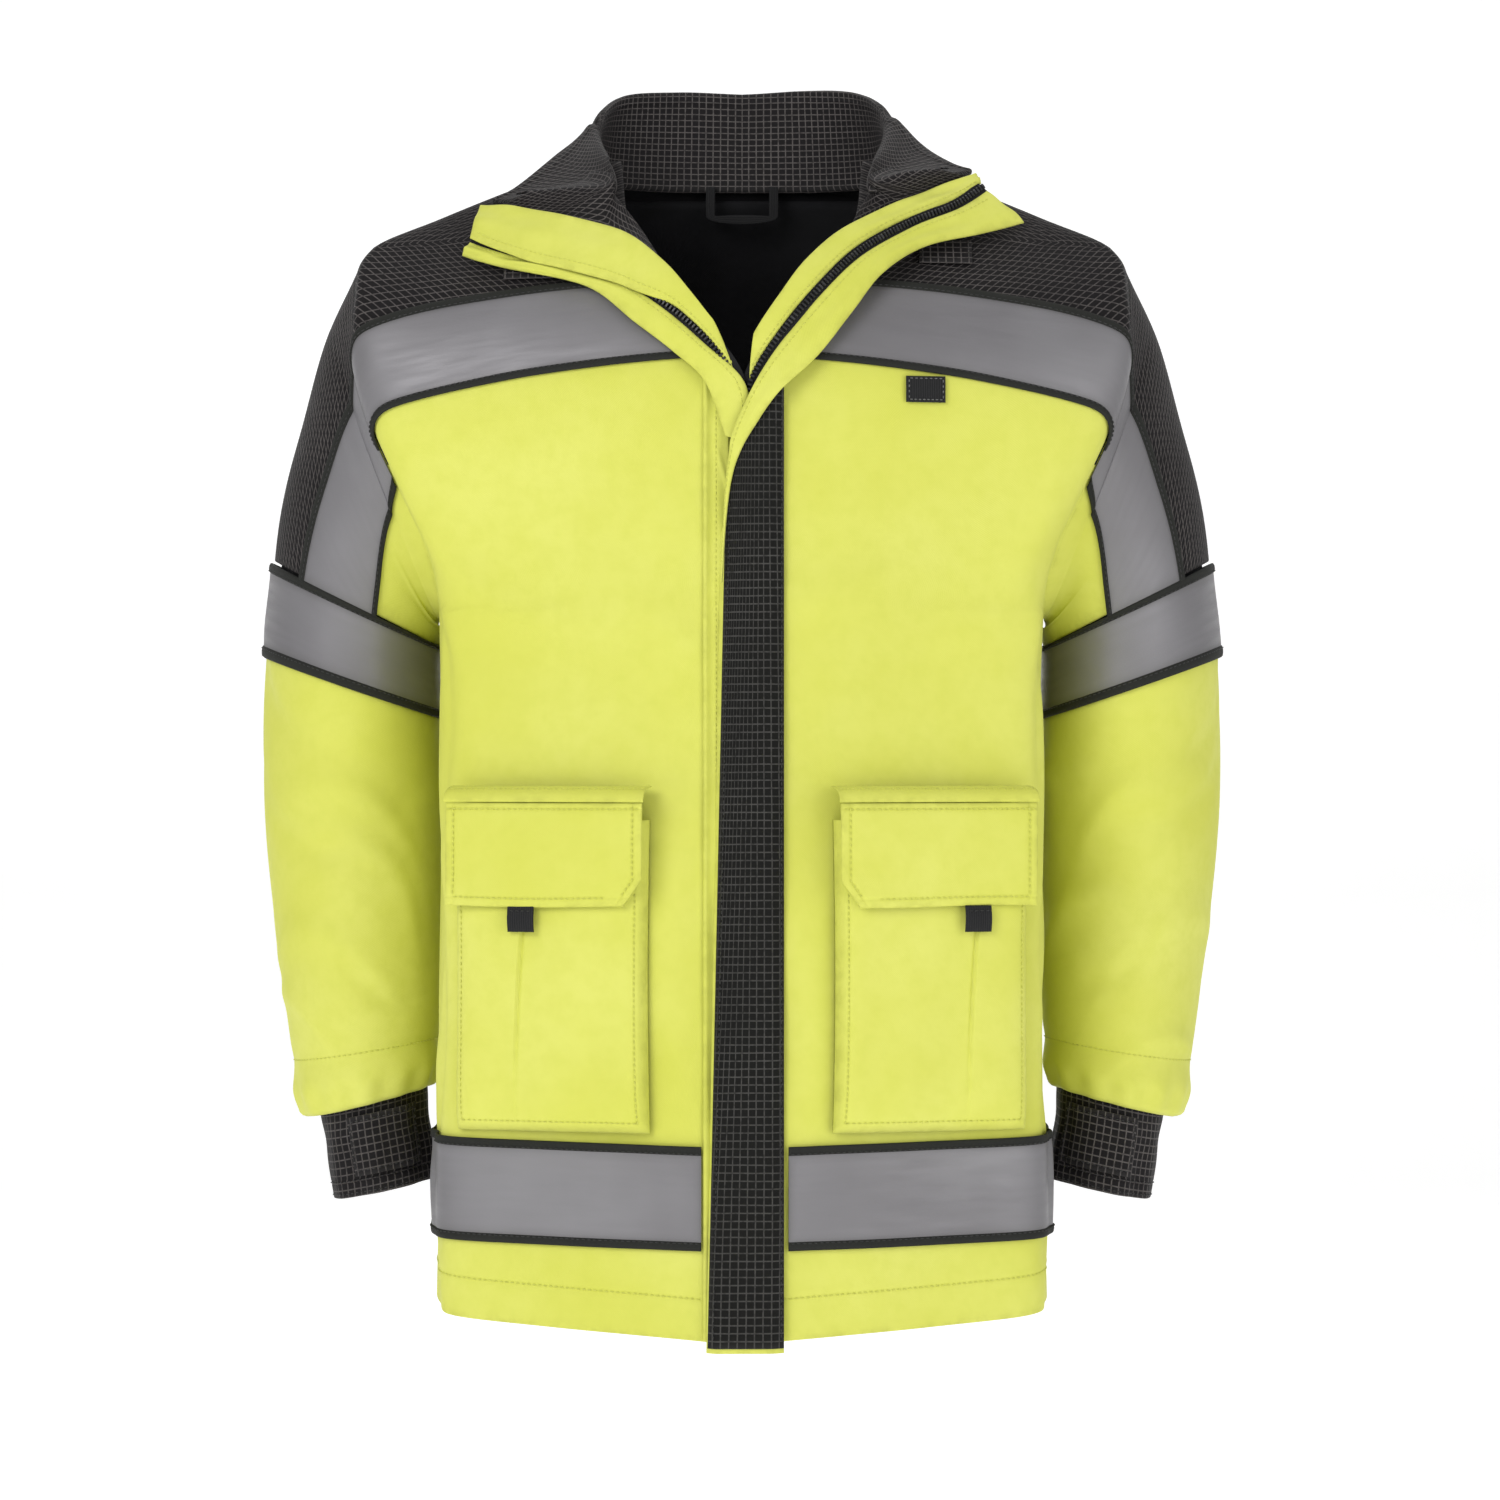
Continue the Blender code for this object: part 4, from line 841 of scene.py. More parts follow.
def front_hem(c):
    return mix(HEM_HEIGHT[0], HEM_HEIGHT[1], c)


def back_hem(c):
    return mix(HEM_HEIGHT[2], HEM_HEIGHT[1], (2 * c - 1) ** 2)


def hem_tape(shift):
    return lambda c: mix(*HEM_TAPE_HEIGHT, c) + shift


def raised(base, shift):
    return lambda c: base(c) + shift


def banded(name, start, end, bottom, top, lift, cells, rise=1.0):
    """Reflective tape between two black edgings, each with its row of stitches."""
    share = EDGING * rise
    crown = lambda c, r: 0.0007 * np.sin(np.pi * r) ** 0.7
    low = torso_place(start, end, bottom, raised(bottom, share), lift + 0.0002)
    high = torso_place(start, end, raised(top, -share), top, lift + 0.0002)
    tape = torso_place(start, end, raised(bottom, share * 0.8), raised(top, -share * 0.8), lift)
    strips = [panel(f"{name}_edging_{word}", place, (cells[0], 4), 0.0014, EDGE, shape=crown, rim=0.0007,
                    declare=False) for word, place in (("low", low), ("high", high))]
    lines = [path_on(place, (0.004, 0.996), at, 0.0007) for place, at in ((low, 0.82), (high, 0.18))]
    strips.append(stitches(f"{name}_stitches", lines, BLACK_THREAD))
    panel(name, tape, cells, 0.0010, SILVER)


def torso_pieces():
    for side, word in SIDES:
        def opening(height, side=side):
            return neck_edge(side, height)

        def tape_start(height, side=side):
            return around_at(side * HEM_TAPE_START[side], height)

        end = front_end(side)
        half = CHEST_TAPE_RISE / 2
        body = torso_place(opening, end, front_hem, chest_seam(-SEAM))
        hem_share = HEM_DEPTH / 0.585
        hem_line = stitches(f"hem_stitches_{word}", [path_on(body, (0.03, 0.995), hem_share, 0.0001)],
                            YELLOW_THREAD)
        panel(f"front_panel_{word}", body, (84, 150), 0.0017, YELLOW, sewn=((), (hem_share,)),
              inside=LINING)
        yoke = torso_place(opening, end, chest_seam(SEAM), level(YOKE_TOP))
        panel(f"yoke_{word}", yoke, (64, 44), 0.0016, YOKE_GRID, inside=LINING)
        banded(f"chest_tape_{word}", opening, end, chest_seam(-half), chest_seam(half), ON_SHELL, (64, 16), 0.8)
        banded(f"hem_tape_{word}", tape_start, end, hem_tape(0.0), hem_tape(TAPE_WIDTH), 0.0030, (84, 16), 1.0)
    right, left = front_end(RIGHT, -1), front_end(LEFT, -1)
    body = torso_place(right, left, back_hem, level(BACK_SEAM - SEAM))
    hem_share = HEM_DEPTH / 0.57
    hem_line = stitches("hem_stitches_back", [path_on(body, (0.003, 0.997), hem_share, 0.0001, 600)],
                        YELLOW_THREAD)
    panel("back_panel", body, (150, 150), 0.0017, YELLOW,
          sewn=((), (hem_share,)), inside=LINING)
    panel("yoke_back", torso_place(right, left, level(BACK_SEAM + SEAM), level(YOKE_TOP)), (130, 44), 0.0016,
          GRID, inside=LINING)
    half = BACK_TAPE_RISE / 2
    banded("back_tape", right, left, level(BACK_SEAM - half), level(BACK_SEAM + half), ON_SHELL, (130, 16),
           0.94)
    banded("hem_tape_back", right, left, level(HEM_TAPE_HEIGHT[1]), level(HEM_TAPE_HEIGHT[1] + TAPE_WIDTH),
           0.0030, (150, 16), 1.0)


def tube_place(side, stations, degrees, lift=0.0, surface=draped_sleeve):
    def place(c, r, extra):
        start, end = mix(degrees[0][0], degrees[1][0], r), mix(degrees[0][1], degrees[1][1], r)
        return surface(side, mix(*stations, r), np.radians(mix(start, end, c)), lift + extra)

    return place


def draped_cuff(side, station, angle, lift):
    """The cuff, drawn in a little and wavy towards its hem."""
    wave = 0.0010 * np.sin(5 * angle + side) + 0.0007 * np.sin(9 * angle + 2.0 + side)
    wave = wave * smooth(0.3, 1.8, station) - 0.0012 * bump(station, 1.25, 0.22)
    return lifted(lambda s, a: cuff_point(side, s, a), station, angle, lift + wave)


def sleeves():
    upper = (0.03, BAND_START - 0.015)
    under = tuple((edge[1] + 0.4, edge[0] + 359.6) for edge in (SLEEVE_TOP, SLEEVE_BAND_TOP))
    for side, word in SIDES:
        body = f"sleeve_{word}"
        panel(f"upper_sleeve_outer_{word}", tube_place(side, upper, (SLEEVE_TOP, SLEEVE_BAND_TOP)), (80, 60),
              0.0016, GRID, body, inside=LINING)
        panel(f"upper_sleeve_under_{word}", tube_place(side, upper, under), (80, 60), 0.0016, YELLOW,
              body, inside=LINING)
        for where, span in (("front", FRONT_TAPE), ("back", BACK_TAPE)):
            name = f"sleeve_tape_{where}_{word}"
            stations = (0.06, BAND_START + 0.02)
            trim = 4.6
            for k, (low, high) in enumerate(((0, trim), (-trim * 0.75, 0))):
                edges = tuple((span[n][k] + low, span[n][k] + high) for n in (0, 1))
                place = tube_place(side, stations, edges, ON_SHELL + 0.0004)
                panel(f"{name}_edging_{k}", place, (4, 60), 0.0014, EDGE, body, rim=0.0007,
                                    shape=lambda c, r: 0.0006 * np.sin(np.pi * c) ** 0.7, declare=False)
                line = [path_on(place, 0.75 if k == 0 else 0.25, (0.01, 0.99), 0.0006)]
                stitches(f"{name}_stitches_{k}", line, BLACK_THREAD, body)
            inner = tuple((span[n][0] + trim * 0.8, span[n][1] - trim * 0.6) for n in (0, 1))
            panel(name, tube_place(side, stations, inner, ON_SHELL), (16, 60), 0.0010, SILVER, body)
        edge = 0.095
        for k, (low, high) in enumerate(((BAND_START, BAND_START + edge), (BAND_END - edge, BAND_END))):
            place = tube_place(side, (low, high), ALL_ROUND, ON_SHELL + 0.0004)
            panel(f"sleeve_band_edging_{k}_{word}", place, (150, 4), 0.0015, EDGE, body, rim=0.0007,
                              closed=True, shape=lambda c, r: 0.0007 * np.sin(np.pi * r) ** 0.7, declare=False)
            line = [path_on(place, (0.0, 1.0), 0.78 if k == 0 else 0.22, 0.0006, 400)]
            stitches(f"sleeve_band_stitches_{k}_{word}", line, BLACK_THREAD, body)
        middle = tube_place(side, (BAND_START + edge * 0.8, BAND_END - edge * 0.8), ALL_ROUND, ON_SHELL)
        panel(f"sleeve_band_{word}", middle, (150, 20), 0.0010, SILVER, body, closed=True)
        lower_sleeve(side, word, body)
        panel(f"sleeve_lining_{word}", tube_place(side, (1.0, 6.6), ALL_ROUND, -0.0045), (90, 60),
              0.0010, LINING, body, closed=True)
        cuff(side, word, body)


def lower_sleeve(side, word, body):
    """The lower sleeve puffs over its hem, which is turned in towards the cuff."""
    turned = 0.955

    def place(c, r, extra):
        angle = np.radians(360 * c)
        down = np.minimum(r / turned, 1.0)
        curl = np.clip((r - turned) / (1 - turned), 0, 1) * np.pi * 0.92
        station = mix(BAND_END - 0.02, 6.92, down)
        station = station + 0.075 * np.sin(curl) * (r > turned)
        pleats = 0.0011 * np.sin(13 * angle + side) * bump(down, 0.97, 0.05)
        puff = 0.0022 * bump(down, 0.94, 0.05) - 0.0006 * bump(down, 0.845, 0.03)
        drop = -0.0050 * (1 - np.cos(curl)) * (r > turned)
        return draped_sleeve(side, station, angle, extra + puff + pleats + drop)

    line = 0.845 * turned
    sewn = stitches(f"lower_sleeve_stitches_{word}", [path_on(place, (0.0, 1.0), line, 0.0001, 500)],
                    YELLOW_THREAD, body)
    panel(f"lower_sleeve_{word}", place, (150, 130), 0.0016, YELLOW, body,
          closed=True, sewn=((), (line,)), inside=LINING, groove=0.0002)


def cuff(side, word, body):
    place = tube_place(side, (0.0, 2.0), ALL_ROUND, 0.0, draped_cuff)
    sewn = stitches(f"cuff_stitches_{word}", [path_on(place, (0, 1), x, 0.0002, 400) for x in (0.90, 0.975)],
                    BLACK_THREAD, body)
    panel(f"cuff_{word}", place, (130, 44), 0.0016, GRID, body, closed=True,
          sewn=((), (0.90,)), inside=LINING)

    def strap(c, r, extra):
        """The strap comes down to the cuff at its sewn end, a little past its hinge."""
        degrees = mix(STRAP_SPAN[0], STRAP_SPAN[1] + STRAP_ROOT, c)
        down = (STRAP_LIFT - 0.0017) * smooth(STRAP_SPAN[1] - 8, STRAP_SPAN[1] + 3, degrees)
        return draped_cuff(side, mix(1.0, 1.75, r), np.radians(degrees), STRAP_LIFT - down + extra)

    sewn = stitches(f"cuff_strap_stitches_{word}",
                    [path_on(strap, (0.04, 0.96), x, 0.0001) for x in (0.09, 0.91)]
                    + [path_on(strap, x, (0.09, 0.91), 0.0001) for x in (0.045, 0.955)],
                    BLACK_THREAD, f"cuff_strap_{word}")
    panel(f"cuff_strap_{word}", strap, (64, 20), 0.0015, GRID, f"cuff_strap_{word}")
    loop = tube_place(side, (1.08, 1.67), ((STRAP_SPAN[0] + 3, STRAP_SPAN[1] - 8),) * 2, 0.0014, draped_cuff)
    panel(f"cuff_loop_patch_{word}", loop, (26, 16), 0.0010, LOOP, body, declare=False)
    hook = tube_place(side, (1.10, 1.65), ((STRAP_SPAN[0] + 3, STRAP_SPAN[0] + 22),) * 2, STRAP_LIFT - 0.0016,
                      draped_cuff)
    panel(f"cuff_hook_patch_{word}", hook, (14, 14), 0.0007, HOOK, f"cuff_strap_{word}", declare=False)


def gussets():
    """The cloth inside each armhole seam."""
    for side, word in SIDES:
        def place(c, r, lift):
            angle = np.radians(360 * c)
            inner = armhole_point(side, angle, -0.0026, 0.006)
            outer = lifted(lambda s, a: sleeve_point(side, s, a), 0 * angle + 0.16, angle, 0 * angle - 0.0026)
            out = unit(armhole_point(side, angle, 0.01) - armhole_point(side, angle))
            return mix(inner, outer, r[..., None]) + out * (lift + 0.0022 * np.sin(np.pi * r))[..., None]

        panel(f"armhole_gusset_{word}", place, (150, 8), 0.0010, YELLOW, f"sleeve_{word}", closed=True,
              second=(EDGE, lambda c: (c < 0.28) | (c > 0.72)))


def heading(points, share, step=0.01):
    """The way that a curve runs at a share of its length."""
    return along_curve(points, np.minimum(share + step, 1)) - along_curve(points, np.maximum(share - step, 0))


def facing_front(ahead, across):
    """The unit normal to two directions, on the side towards the front of the coat."""
    normal = unit(np.cross(ahead, across))
    return np.where(normal[..., 1:2] > 0, -normal, normal)


def ribbon_place(first, second, shares=(0.0, 1.0), gaps=(0.0, 0.0), base=0.0, closing=0.0):
    """A strip between two edge curves, drawn in by a gap from each; the first gap may close outwards."""
    def place(c, r, lift):
        share = mix(*shares, c)
        closed = (closing * smooth(0.38, 0.55, share))[..., None]
        low, high = along_curve(first, share), along_curve(second, share)
        across = unit(high - low)
        low, high = low + across * (gaps[0] - closed), high - across * gaps[1]
        normal = facing_front(heading(first, share), across)
        raised_by = (np.asarray(lift) + base)[..., None] + closed * 0.4
        return mix(low, high, np.asarray(r)[..., None]) + normal * raised_by

    return place


# the wearer's left band runs on down the storm flap's free edge
TURN_EDGE = mm((-11.3, -160.2, 470), (-9.2, -160.6, 503), (-6, -161, 529), (-0.6, -161.4, 546.6),
               (8.8, -161.8, 563))
RIGHT_LOW_EDGE = (-0.0095, -0.1562, 0.5560)
RIGHT_LOW_ZIP = ((0.0060, -0.1568, 0.5520), (0.0056, -0.1563, 0.586))
TURN_ZIP = mm((-12.3, -160, 470), (-11, -160.4, 500), (-9.8, -160.8, 524), (-7.6, -161.4, 545),
              (-4.4, -162, 561))


def lapels():
    inwards = unit(np.array(LEFT_EDGE) - np.array(LEFT_ZIP)) * 0.0030
    upper = [tuple(point) for point in np.array(LEFT_ZIP) + inwards]
    upper[1] = (upper[1][0], -0.1585, upper[1][2])
    left_flap = ribbon_place(TURN_EDGE + LEFT_EDGE[1:], TURN_ZIP + tuple(upper[1:]))
    right_flap = ribbon_place((RIGHT_LOW_EDGE,) + RIGHT_EDGE[1:], RIGHT_LOW_ZIP + RIGHT_ZIP[2:],
                              gaps=(0.0, 0.0030))
    bands = (("right", right_flap, RIGHT_EDGE, RIGHT_ZIP, RIGHT_INNER, 0.0085, 1.7),
             ("left", left_flap, LEFT_EDGE, LEFT_ZIP, LEFT_INNER, 0.0, 4.2))
    for word, flap, edge, zip_line, inner, closing, phase in bands:
        def roll(c, r, phase=phase):
            """The band swells between its edges, with long shallow folds running along it."""
            swell = 0.0014 * np.clip(4 * r * (1 - r), 0, 1) ** 0.5
            folds = (0.0009 * np.sin(8 * r + 2.5 * c + phase) * np.sin(np.pi * r)
                     + 0.0005 * np.sin(31 * c + 6 * r))
            return swell + folds * smooth(0.15, 0.8, c)

        facing = ribbon_place(zip_line, inner, (0.12, 1.0), (0.0034, 0.0), 0.0008, closing)
        for name, place, at in (("lapel_flap", flap, 0.80), ("lapel_facing", facing, 0.16)):
            turned = name == "lapel_flap" and word == "left"
            body = None if turned else "coat_body"
            swollen = lambda c, r, x, place=place, roll=roll: place(c, r, x + roll(c, r))
            sewn = stitches(f"{name}_stitches_{word}", [path_on(swollen, (0.02, 0.98), at, 0.0001)],
                            YELLOW_THREAD, body)
            made = panel(f"{name}_{word}", place, (150, 22), 0.0022, YELLOW, body, rim=0.0018,
                         shape=roll, declare=not turned)
            if turned:
                for piece in (made, sewn):
                    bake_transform(piece)

        def tape_place(c, r, lift, zip_line=zip_line, edge=edge):
            share = mix(0.02, 1.0, c)
            middle = along_curve(zip_line, share)
            across = unit(middle - along_curve(edge, share))
            normal = facing_front(heading(zip_line, share), across)
            reach = mix(-0.0062, 0.0062, np.asarray(r))[..., None]
            return middle + across * reach + normal * (np.asarray(lift) - 0.0004)[..., None]

        panel(f"lapel_zip_tape_{word}", tape_place, (110, 6), 0.0008, ZIP_TAPE, rim=0.0005, declare=False)


def teeth(word, side, zip_line):
    """One side's row of moulded teeth: straight to the V, then along the lapel."""
    low = np.array([(side * CHAIN_X, ZIP_Y, BOX_TOP + 0.002), (side * CHAIN_X, ZIP_Y, 0.30)])
    curve = along_curve(zip_line, np.linspace(0.0, 1.0, 200))
    line = np.concatenate([low, curve])
    run = run_along(line)
    pitch = 0.0026
    at = np.arange(pitch / 2 + (pitch / 2 if side > 0 else 0), run[-1], pitch)
    ahead = unit(between(at + 0.002, run, line) - between(at - 0.002, run, line))
    forwards = np.array([0.0, -1.0, 0.0])
    front = unit(forwards - ahead * (ahead @ forwards)[:, None])
    tooth = bmesh.new()
    bmesh.ops.create_cube(tooth, size=1.0)
    bmesh.ops.bevel(tooth, geom=tooth.edges[:], offset=0.18, segments=1, affect="EDGES")
    shape = np.array([v.co for v in tooth.verts]) * (0.0034, 0.0030, 0.0015)
    faces = [tuple(v.index for v in face.verts) for face in tooth.faces]
    tooth.free()
    made = strewn(f"zip_teeth_{word}_fine", RESIN, shape, between(at, run, line),
                  (np.cross(ahead, front), front, ahead), faces)
    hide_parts(f"zip_teeth_{word}")
    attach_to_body(made, "coat_body")


def refined(node, body, offset, coat):
    """A CAD node's own shape with its edges rounded."""
    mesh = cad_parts[node].data.copy()
    made = placed(f"{node}_fine", mesh)
    joined = bmesh.new()
    joined.from_mesh(mesh)
    bmesh.ops.remove_doubles(joined, verts=joined.verts, dist=1e-6)
    bmesh.ops.dissolve_limit(joined, angle_limit=0.02, verts=joined.verts, edges=joined.edges)
    bmesh.ops.bevel(joined, geom=joined.edges[:], offset=offset, segments=2, affect="EDGES", clamp_overlap=True)
    joined.to_mesh(mesh)
    joined.free()
    mesh.materials.clear()
    mesh.materials.append(coat)
    mesh.shade_smooth()
    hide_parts(node)
    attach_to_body(made, body)


def zip_pieces():
    teeth("right", RIGHT, RIGHT_ZIP)
    teeth("left", LEFT, LEFT_ZIP)
    for side, word in SIDES:
        def place(c, r, lift):
            x = side * mix(0.0030, 0.0150, c)
            return np.stack([x, ZIP_Y + 0.0009 + 0 * x - lift, mix(0.040, 0.566, r)], -1)

        panel(f"zip_tape_{word}", place, (6, 60), 0.0007, ZIP_TAPE, rim=0.0004)
    refined("zip_box", "coat_body", 0.0005, RESIN)
    refined("zip_slider", "zip_slider", 0.00025, RESIN)
    refined("zip_pull", "zip_pull", 0.00030, RESIN)


def collar_edges(share):
    """The collar's low and high edges, from the right front (0) round the back to the left (1)."""
    share = np.asarray(share, float)
    return [np.where((share < 0.5)[..., None], along_curve(right, np.minimum(share * 2, 1)),
                     along_curve(left, np.minimum(2 - share * 2, 1)))
            for right, left in ((RIGHT_COLLAR_LOW, LEFT_COLLAR_LOW), (RIGHT_COLLAR_TOP, LEFT_COLLAR_TOP))]


def collar_place(c, r, extra):
    c = mix(0.020, 0.980, np.asarray(c, float))
    low, high = collar_edges(c)
    ahead = sum(collar_edges(np.minimum(c + 0.004, 1))) - sum(collar_edges(np.maximum(c - 0.004, 0)))
    normal = unit(np.cross(high - low, ahead))
    wing = 1 - smooth(0.10, 0.30, np.minimum(c, 1 - c))
    r = mix(-0.16 * (1 - wing), 1.0, np.asarray(r))
    point = mix(low, high, r[..., None]) + normal * np.asarray(extra)[..., None]
    return point - np.stack([0 * c, 0 * c, 0.0045 * wing * np.clip(r, 0, 1)], -1)


def collar():
    def swell(c, r):
        return 0.0010 * np.sin(np.pi * r) + 0.0006 * np.sin(40 * c) * r

    swollen = lambda c, r, x: collar_place(c, r, x + swell(c, r))
    stitches("collar_stitches", [path_on(swollen, (0.03, 0.97), 0.88, 0.0002, 500)], BLACK_THREAD)
    made = panel("collar", collar_place, (190, 30), COLLAR_DEPTH, GRID, nodes=("collar_facing", "collar_outer"),
                 rim=0.0028, shape=swell, sewn=((), (0.88,)), declare=False)
    wings = (("right", RIGHT_INNER, ((-0.0600, -0.1110, 0.6830), (-0.0710, -0.0975, 0.6985)), 1),
             ("left", LEFT_INNER, ((0.0705, -0.1060, 0.6950), (0.0760, -0.0950, 0.7050)), -1))
    for word, inner, free, sign in wings:
        start = 0.44 if word == "right" else 0.60
        shares = np.linspace(start, 0.985, 7)
        first = along_curve(inner, shares) + (0, 0.0020, -0.0008)
        at = np.array([0.140, 0.105, 0.060, 0.012])
        at = at if sign > 0 else 1 - at
        over = collar_place(at, 0 * at + 0.34, 0 * at - COLLAR_DEPTH - 0.0016)
        rim = collar_place(at, 0 * at + 0.02, 0 * at - COLLAR_DEPTH) + (0, -0.0030, 0.0016)
        top = np.concatenate([first[:1] + (0, 0.0004, 0.0004), free, over])
        middle = np.concatenate([(first[:3] + top[:3]) / 2, rim])

        def place(c, r, lift, first=first, middle=middle, top=top):
            """A facing bowed over the wing's lower rim."""
            low, high, over_rim = [along_curve(rows, c) for rows in (first, top, middle)]
            r = np.asarray(r)[..., None]
            bow = 2 * over_rim - (low + high) / 2
            normal = facing_front(heading(first, c, 0.02), high - low + (0, 1e-6, 1e-6))
            curve = low * (1 - r) ** 2 + bow * 2 * r * (1 - r) + high * r**2
            return curve + normal * np.asarray(lift)[..., None]

        made = panel(f"collar_wing_{word}", place, (90, 20), 0.0014, GRID, rim=0.0008, declare=False)


def flap_place(c, height, lift):
    free = mix(*FLAP_FREE_X, height / FLAP_TOP_HEIGHT)
    rise = np.minimum(np.minimum(c / 0.22, 1.0), (1 - c) / 0.16)
    arch = FLAP_ARCH * np.sin(np.clip(rise, 0, 1) * np.pi / 2)
    wave = 0.0011 * np.sin(height * 34 + 0.6) * smooth(0.3, 1.0, c) + 0.0005 * np.sin(height * 71 + 2 * c)
    return np.stack([mix(FLAP_HINGE_X, free, c), FLAP_BASE_Y - arch - lift - wave, height + 0 * c], -1)


def storm_flap():
    """The black outside, and a yellow facing that shows as a fringe along the free edge."""
    def top(c):
        return mix(0.590, FLAP_FREE_TOP_HEIGHT, c**2.2)

    def outside(c, r, lift):
        c = c * mix(0.985, 0.93, r)
        return flap_place(c, mix(FLAP_BOTTOM + 0.002, top(c) - 0.002, r), lift + 0.0016)

    def facing(c, r, lift):
        return flap_place(c, mix(FLAP_BOTTOM - 0.001, top(c) - 0.004, r), lift)

    sewn = stitches("storm_flap_stitches", [path_on(outside, 0.93, (0.01, 0.99), 0.0002, 600),
                                            path_on(outside, 0.04, (0.01, 0.99), 0.0002, 600)], BLACK_THREAD,
                    "storm_flap")
    # The flap's outside wears the grid copy with painted shade in its lines and cells.
    panel("storm_flap", outside, (72, 150), 0.0013, FLAP_GRID_SHADED, "storm_flap")
    panel("storm_flap_facing", facing, (78, 150), 0.0011, YELLOW, "storm_flap")

    def strip(c, r, lift):
        height = mix(0.035, 0.475, r)
        free = mix(*FLAP_FREE_X, height / FLAP_TOP_HEIGHT)
        return np.stack([mix(free + 0.0012, -0.0078, c), -0.1530 - lift, height], -1)

    panel("placket_loop_strip", strip, (6, 80), 0.0008, LOOP, rim=0.0004)


def placket():
    def place(c, r, lift):
        height = mix(0.0245, mix(0.592, 0.572, c), r)
        return torso(around_at(mix(-0.0226, -0.0075, c), height), height, ON_SHELL - 0.0006 + lift)

    def ridge(c, r):
        """A rolled outer edge, a hollow beside it, and a small tuck near the top."""
        rolled = 0.0012 * bump(c, 0.10, 0.11) - 0.0007 * bump(c, 0.36, 0.14) + 0.0004 * bump(c, 0.62, 0.18)
        tuck = 0.0014 * bump(r + 0.05 * c, 0.965, 0.008) * smooth(0.35, 0.8, c)
        return rolled + tuck + 0.0003 * np.sin(37 * r + 2 * c)

    ridged = lambda c, r, lift: place(c, r, lift + ridge(c, r))
    sewn = stitches("placket_stitches", [path_on(ridged, 0.50, (0.0, 1.0), 0.0001, 600)], YELLOW_THREAD)
    panel("placket_right", place, (18, 200), 0.0013, YELLOW, shape=ridge)


# ---------------------------------------------------------------- pockets, tabs and loop
def in_frame(side, x, y, z):
    """A point of a pocket's own frame, in heights above the hem level."""
    turn = math.radians(side * POCKET_FACING)
    pivot = (side * POCKET_PIVOT[0], POCKET_PIVOT[1], POCKET_PIVOT[2])
    return np.stack([pivot[0] + math.cos(turn) * x - math.sin(turn) * y,
                     pivot[1] + math.sin(turn) * x + math.cos(turn) * y, pivot[2] + z + 0 * x], -1)


def pockets():
    half = POCKET_WIDTH / 2
    for side, word in SIDES:
        pleat = 0.430 if side == RIGHT else 0.770

        def bag(c, r, lift, side=side, pleat=pleat):
            """The pouch: a crowned front whose sides and bottom turn back to the coat."""
            across, up = 2 * c - 1, 1 - r
            fall = (1 - np.abs(across) ** 12) ** 0.42 * (1 - np.clip(up, 0, 1) ** 16) ** 0.42
            crown = 0.0012 * np.cos(across * np.pi / 2) * np.sin(np.clip(up, 0, 1) * np.pi * 0.9)
            fold = (c - pleat + 0.100 * (1 - (1 - up) ** 2)) * side
            step = (0.0022 * smooth(-0.004, 0.004, fold) - 0.0018 * smooth(0.0, 0.30, fold)
                    - 0.0012 * bump(fold, -0.006, 0.007)) * (1 - 0.8 * smooth(0.55, 0.95, up))
            sag = 0.0008 * np.sin(7 * across + 3 * up + side) * up
            y = POCKET_DEPTH * (1 - fall) - (crown + step + sag) * fall - lift * (0.25 + 0.75 * fall)
            pull_in = 0.0012 * np.sin(np.pi * up)
            x = across * (half - 0.0008 - pull_in + 0.9 * lift * (1 - fall))
            return in_frame(side, x, y, -POCKET_MOUTH - POCKET_HEIGHT * up)

        lines = [path_on(bag, x, (0.03, 0.99), 0.0002) for x in (0.045, 0.955)]
        lines += [path_on(bag, (0.045, 0.955), 0.035, 0.0002)]
        sewn = stitches(f"pocket_stitches_{word}", lines, YELLOW_THREAD)
        panel(f"pocket_{word}", bag, (150, 100), 0.0014, YELLOW,
              sewn=((0.045, 0.955), (0.035,)), groove=0.0004)
        loop = lambda c, r, lift, side=side: in_frame(side, mix(-0.040, 0.040, c), -0.0022 - lift + 0 * c,
                                                      mix(-0.052, -0.028, r))
        panel(f"pocket_loop_patch_{word}", loop, (20, 8), 0.0010, LOOP, declare=False)
        pocket_flap(side, word, half)
        welt(side, word, half)


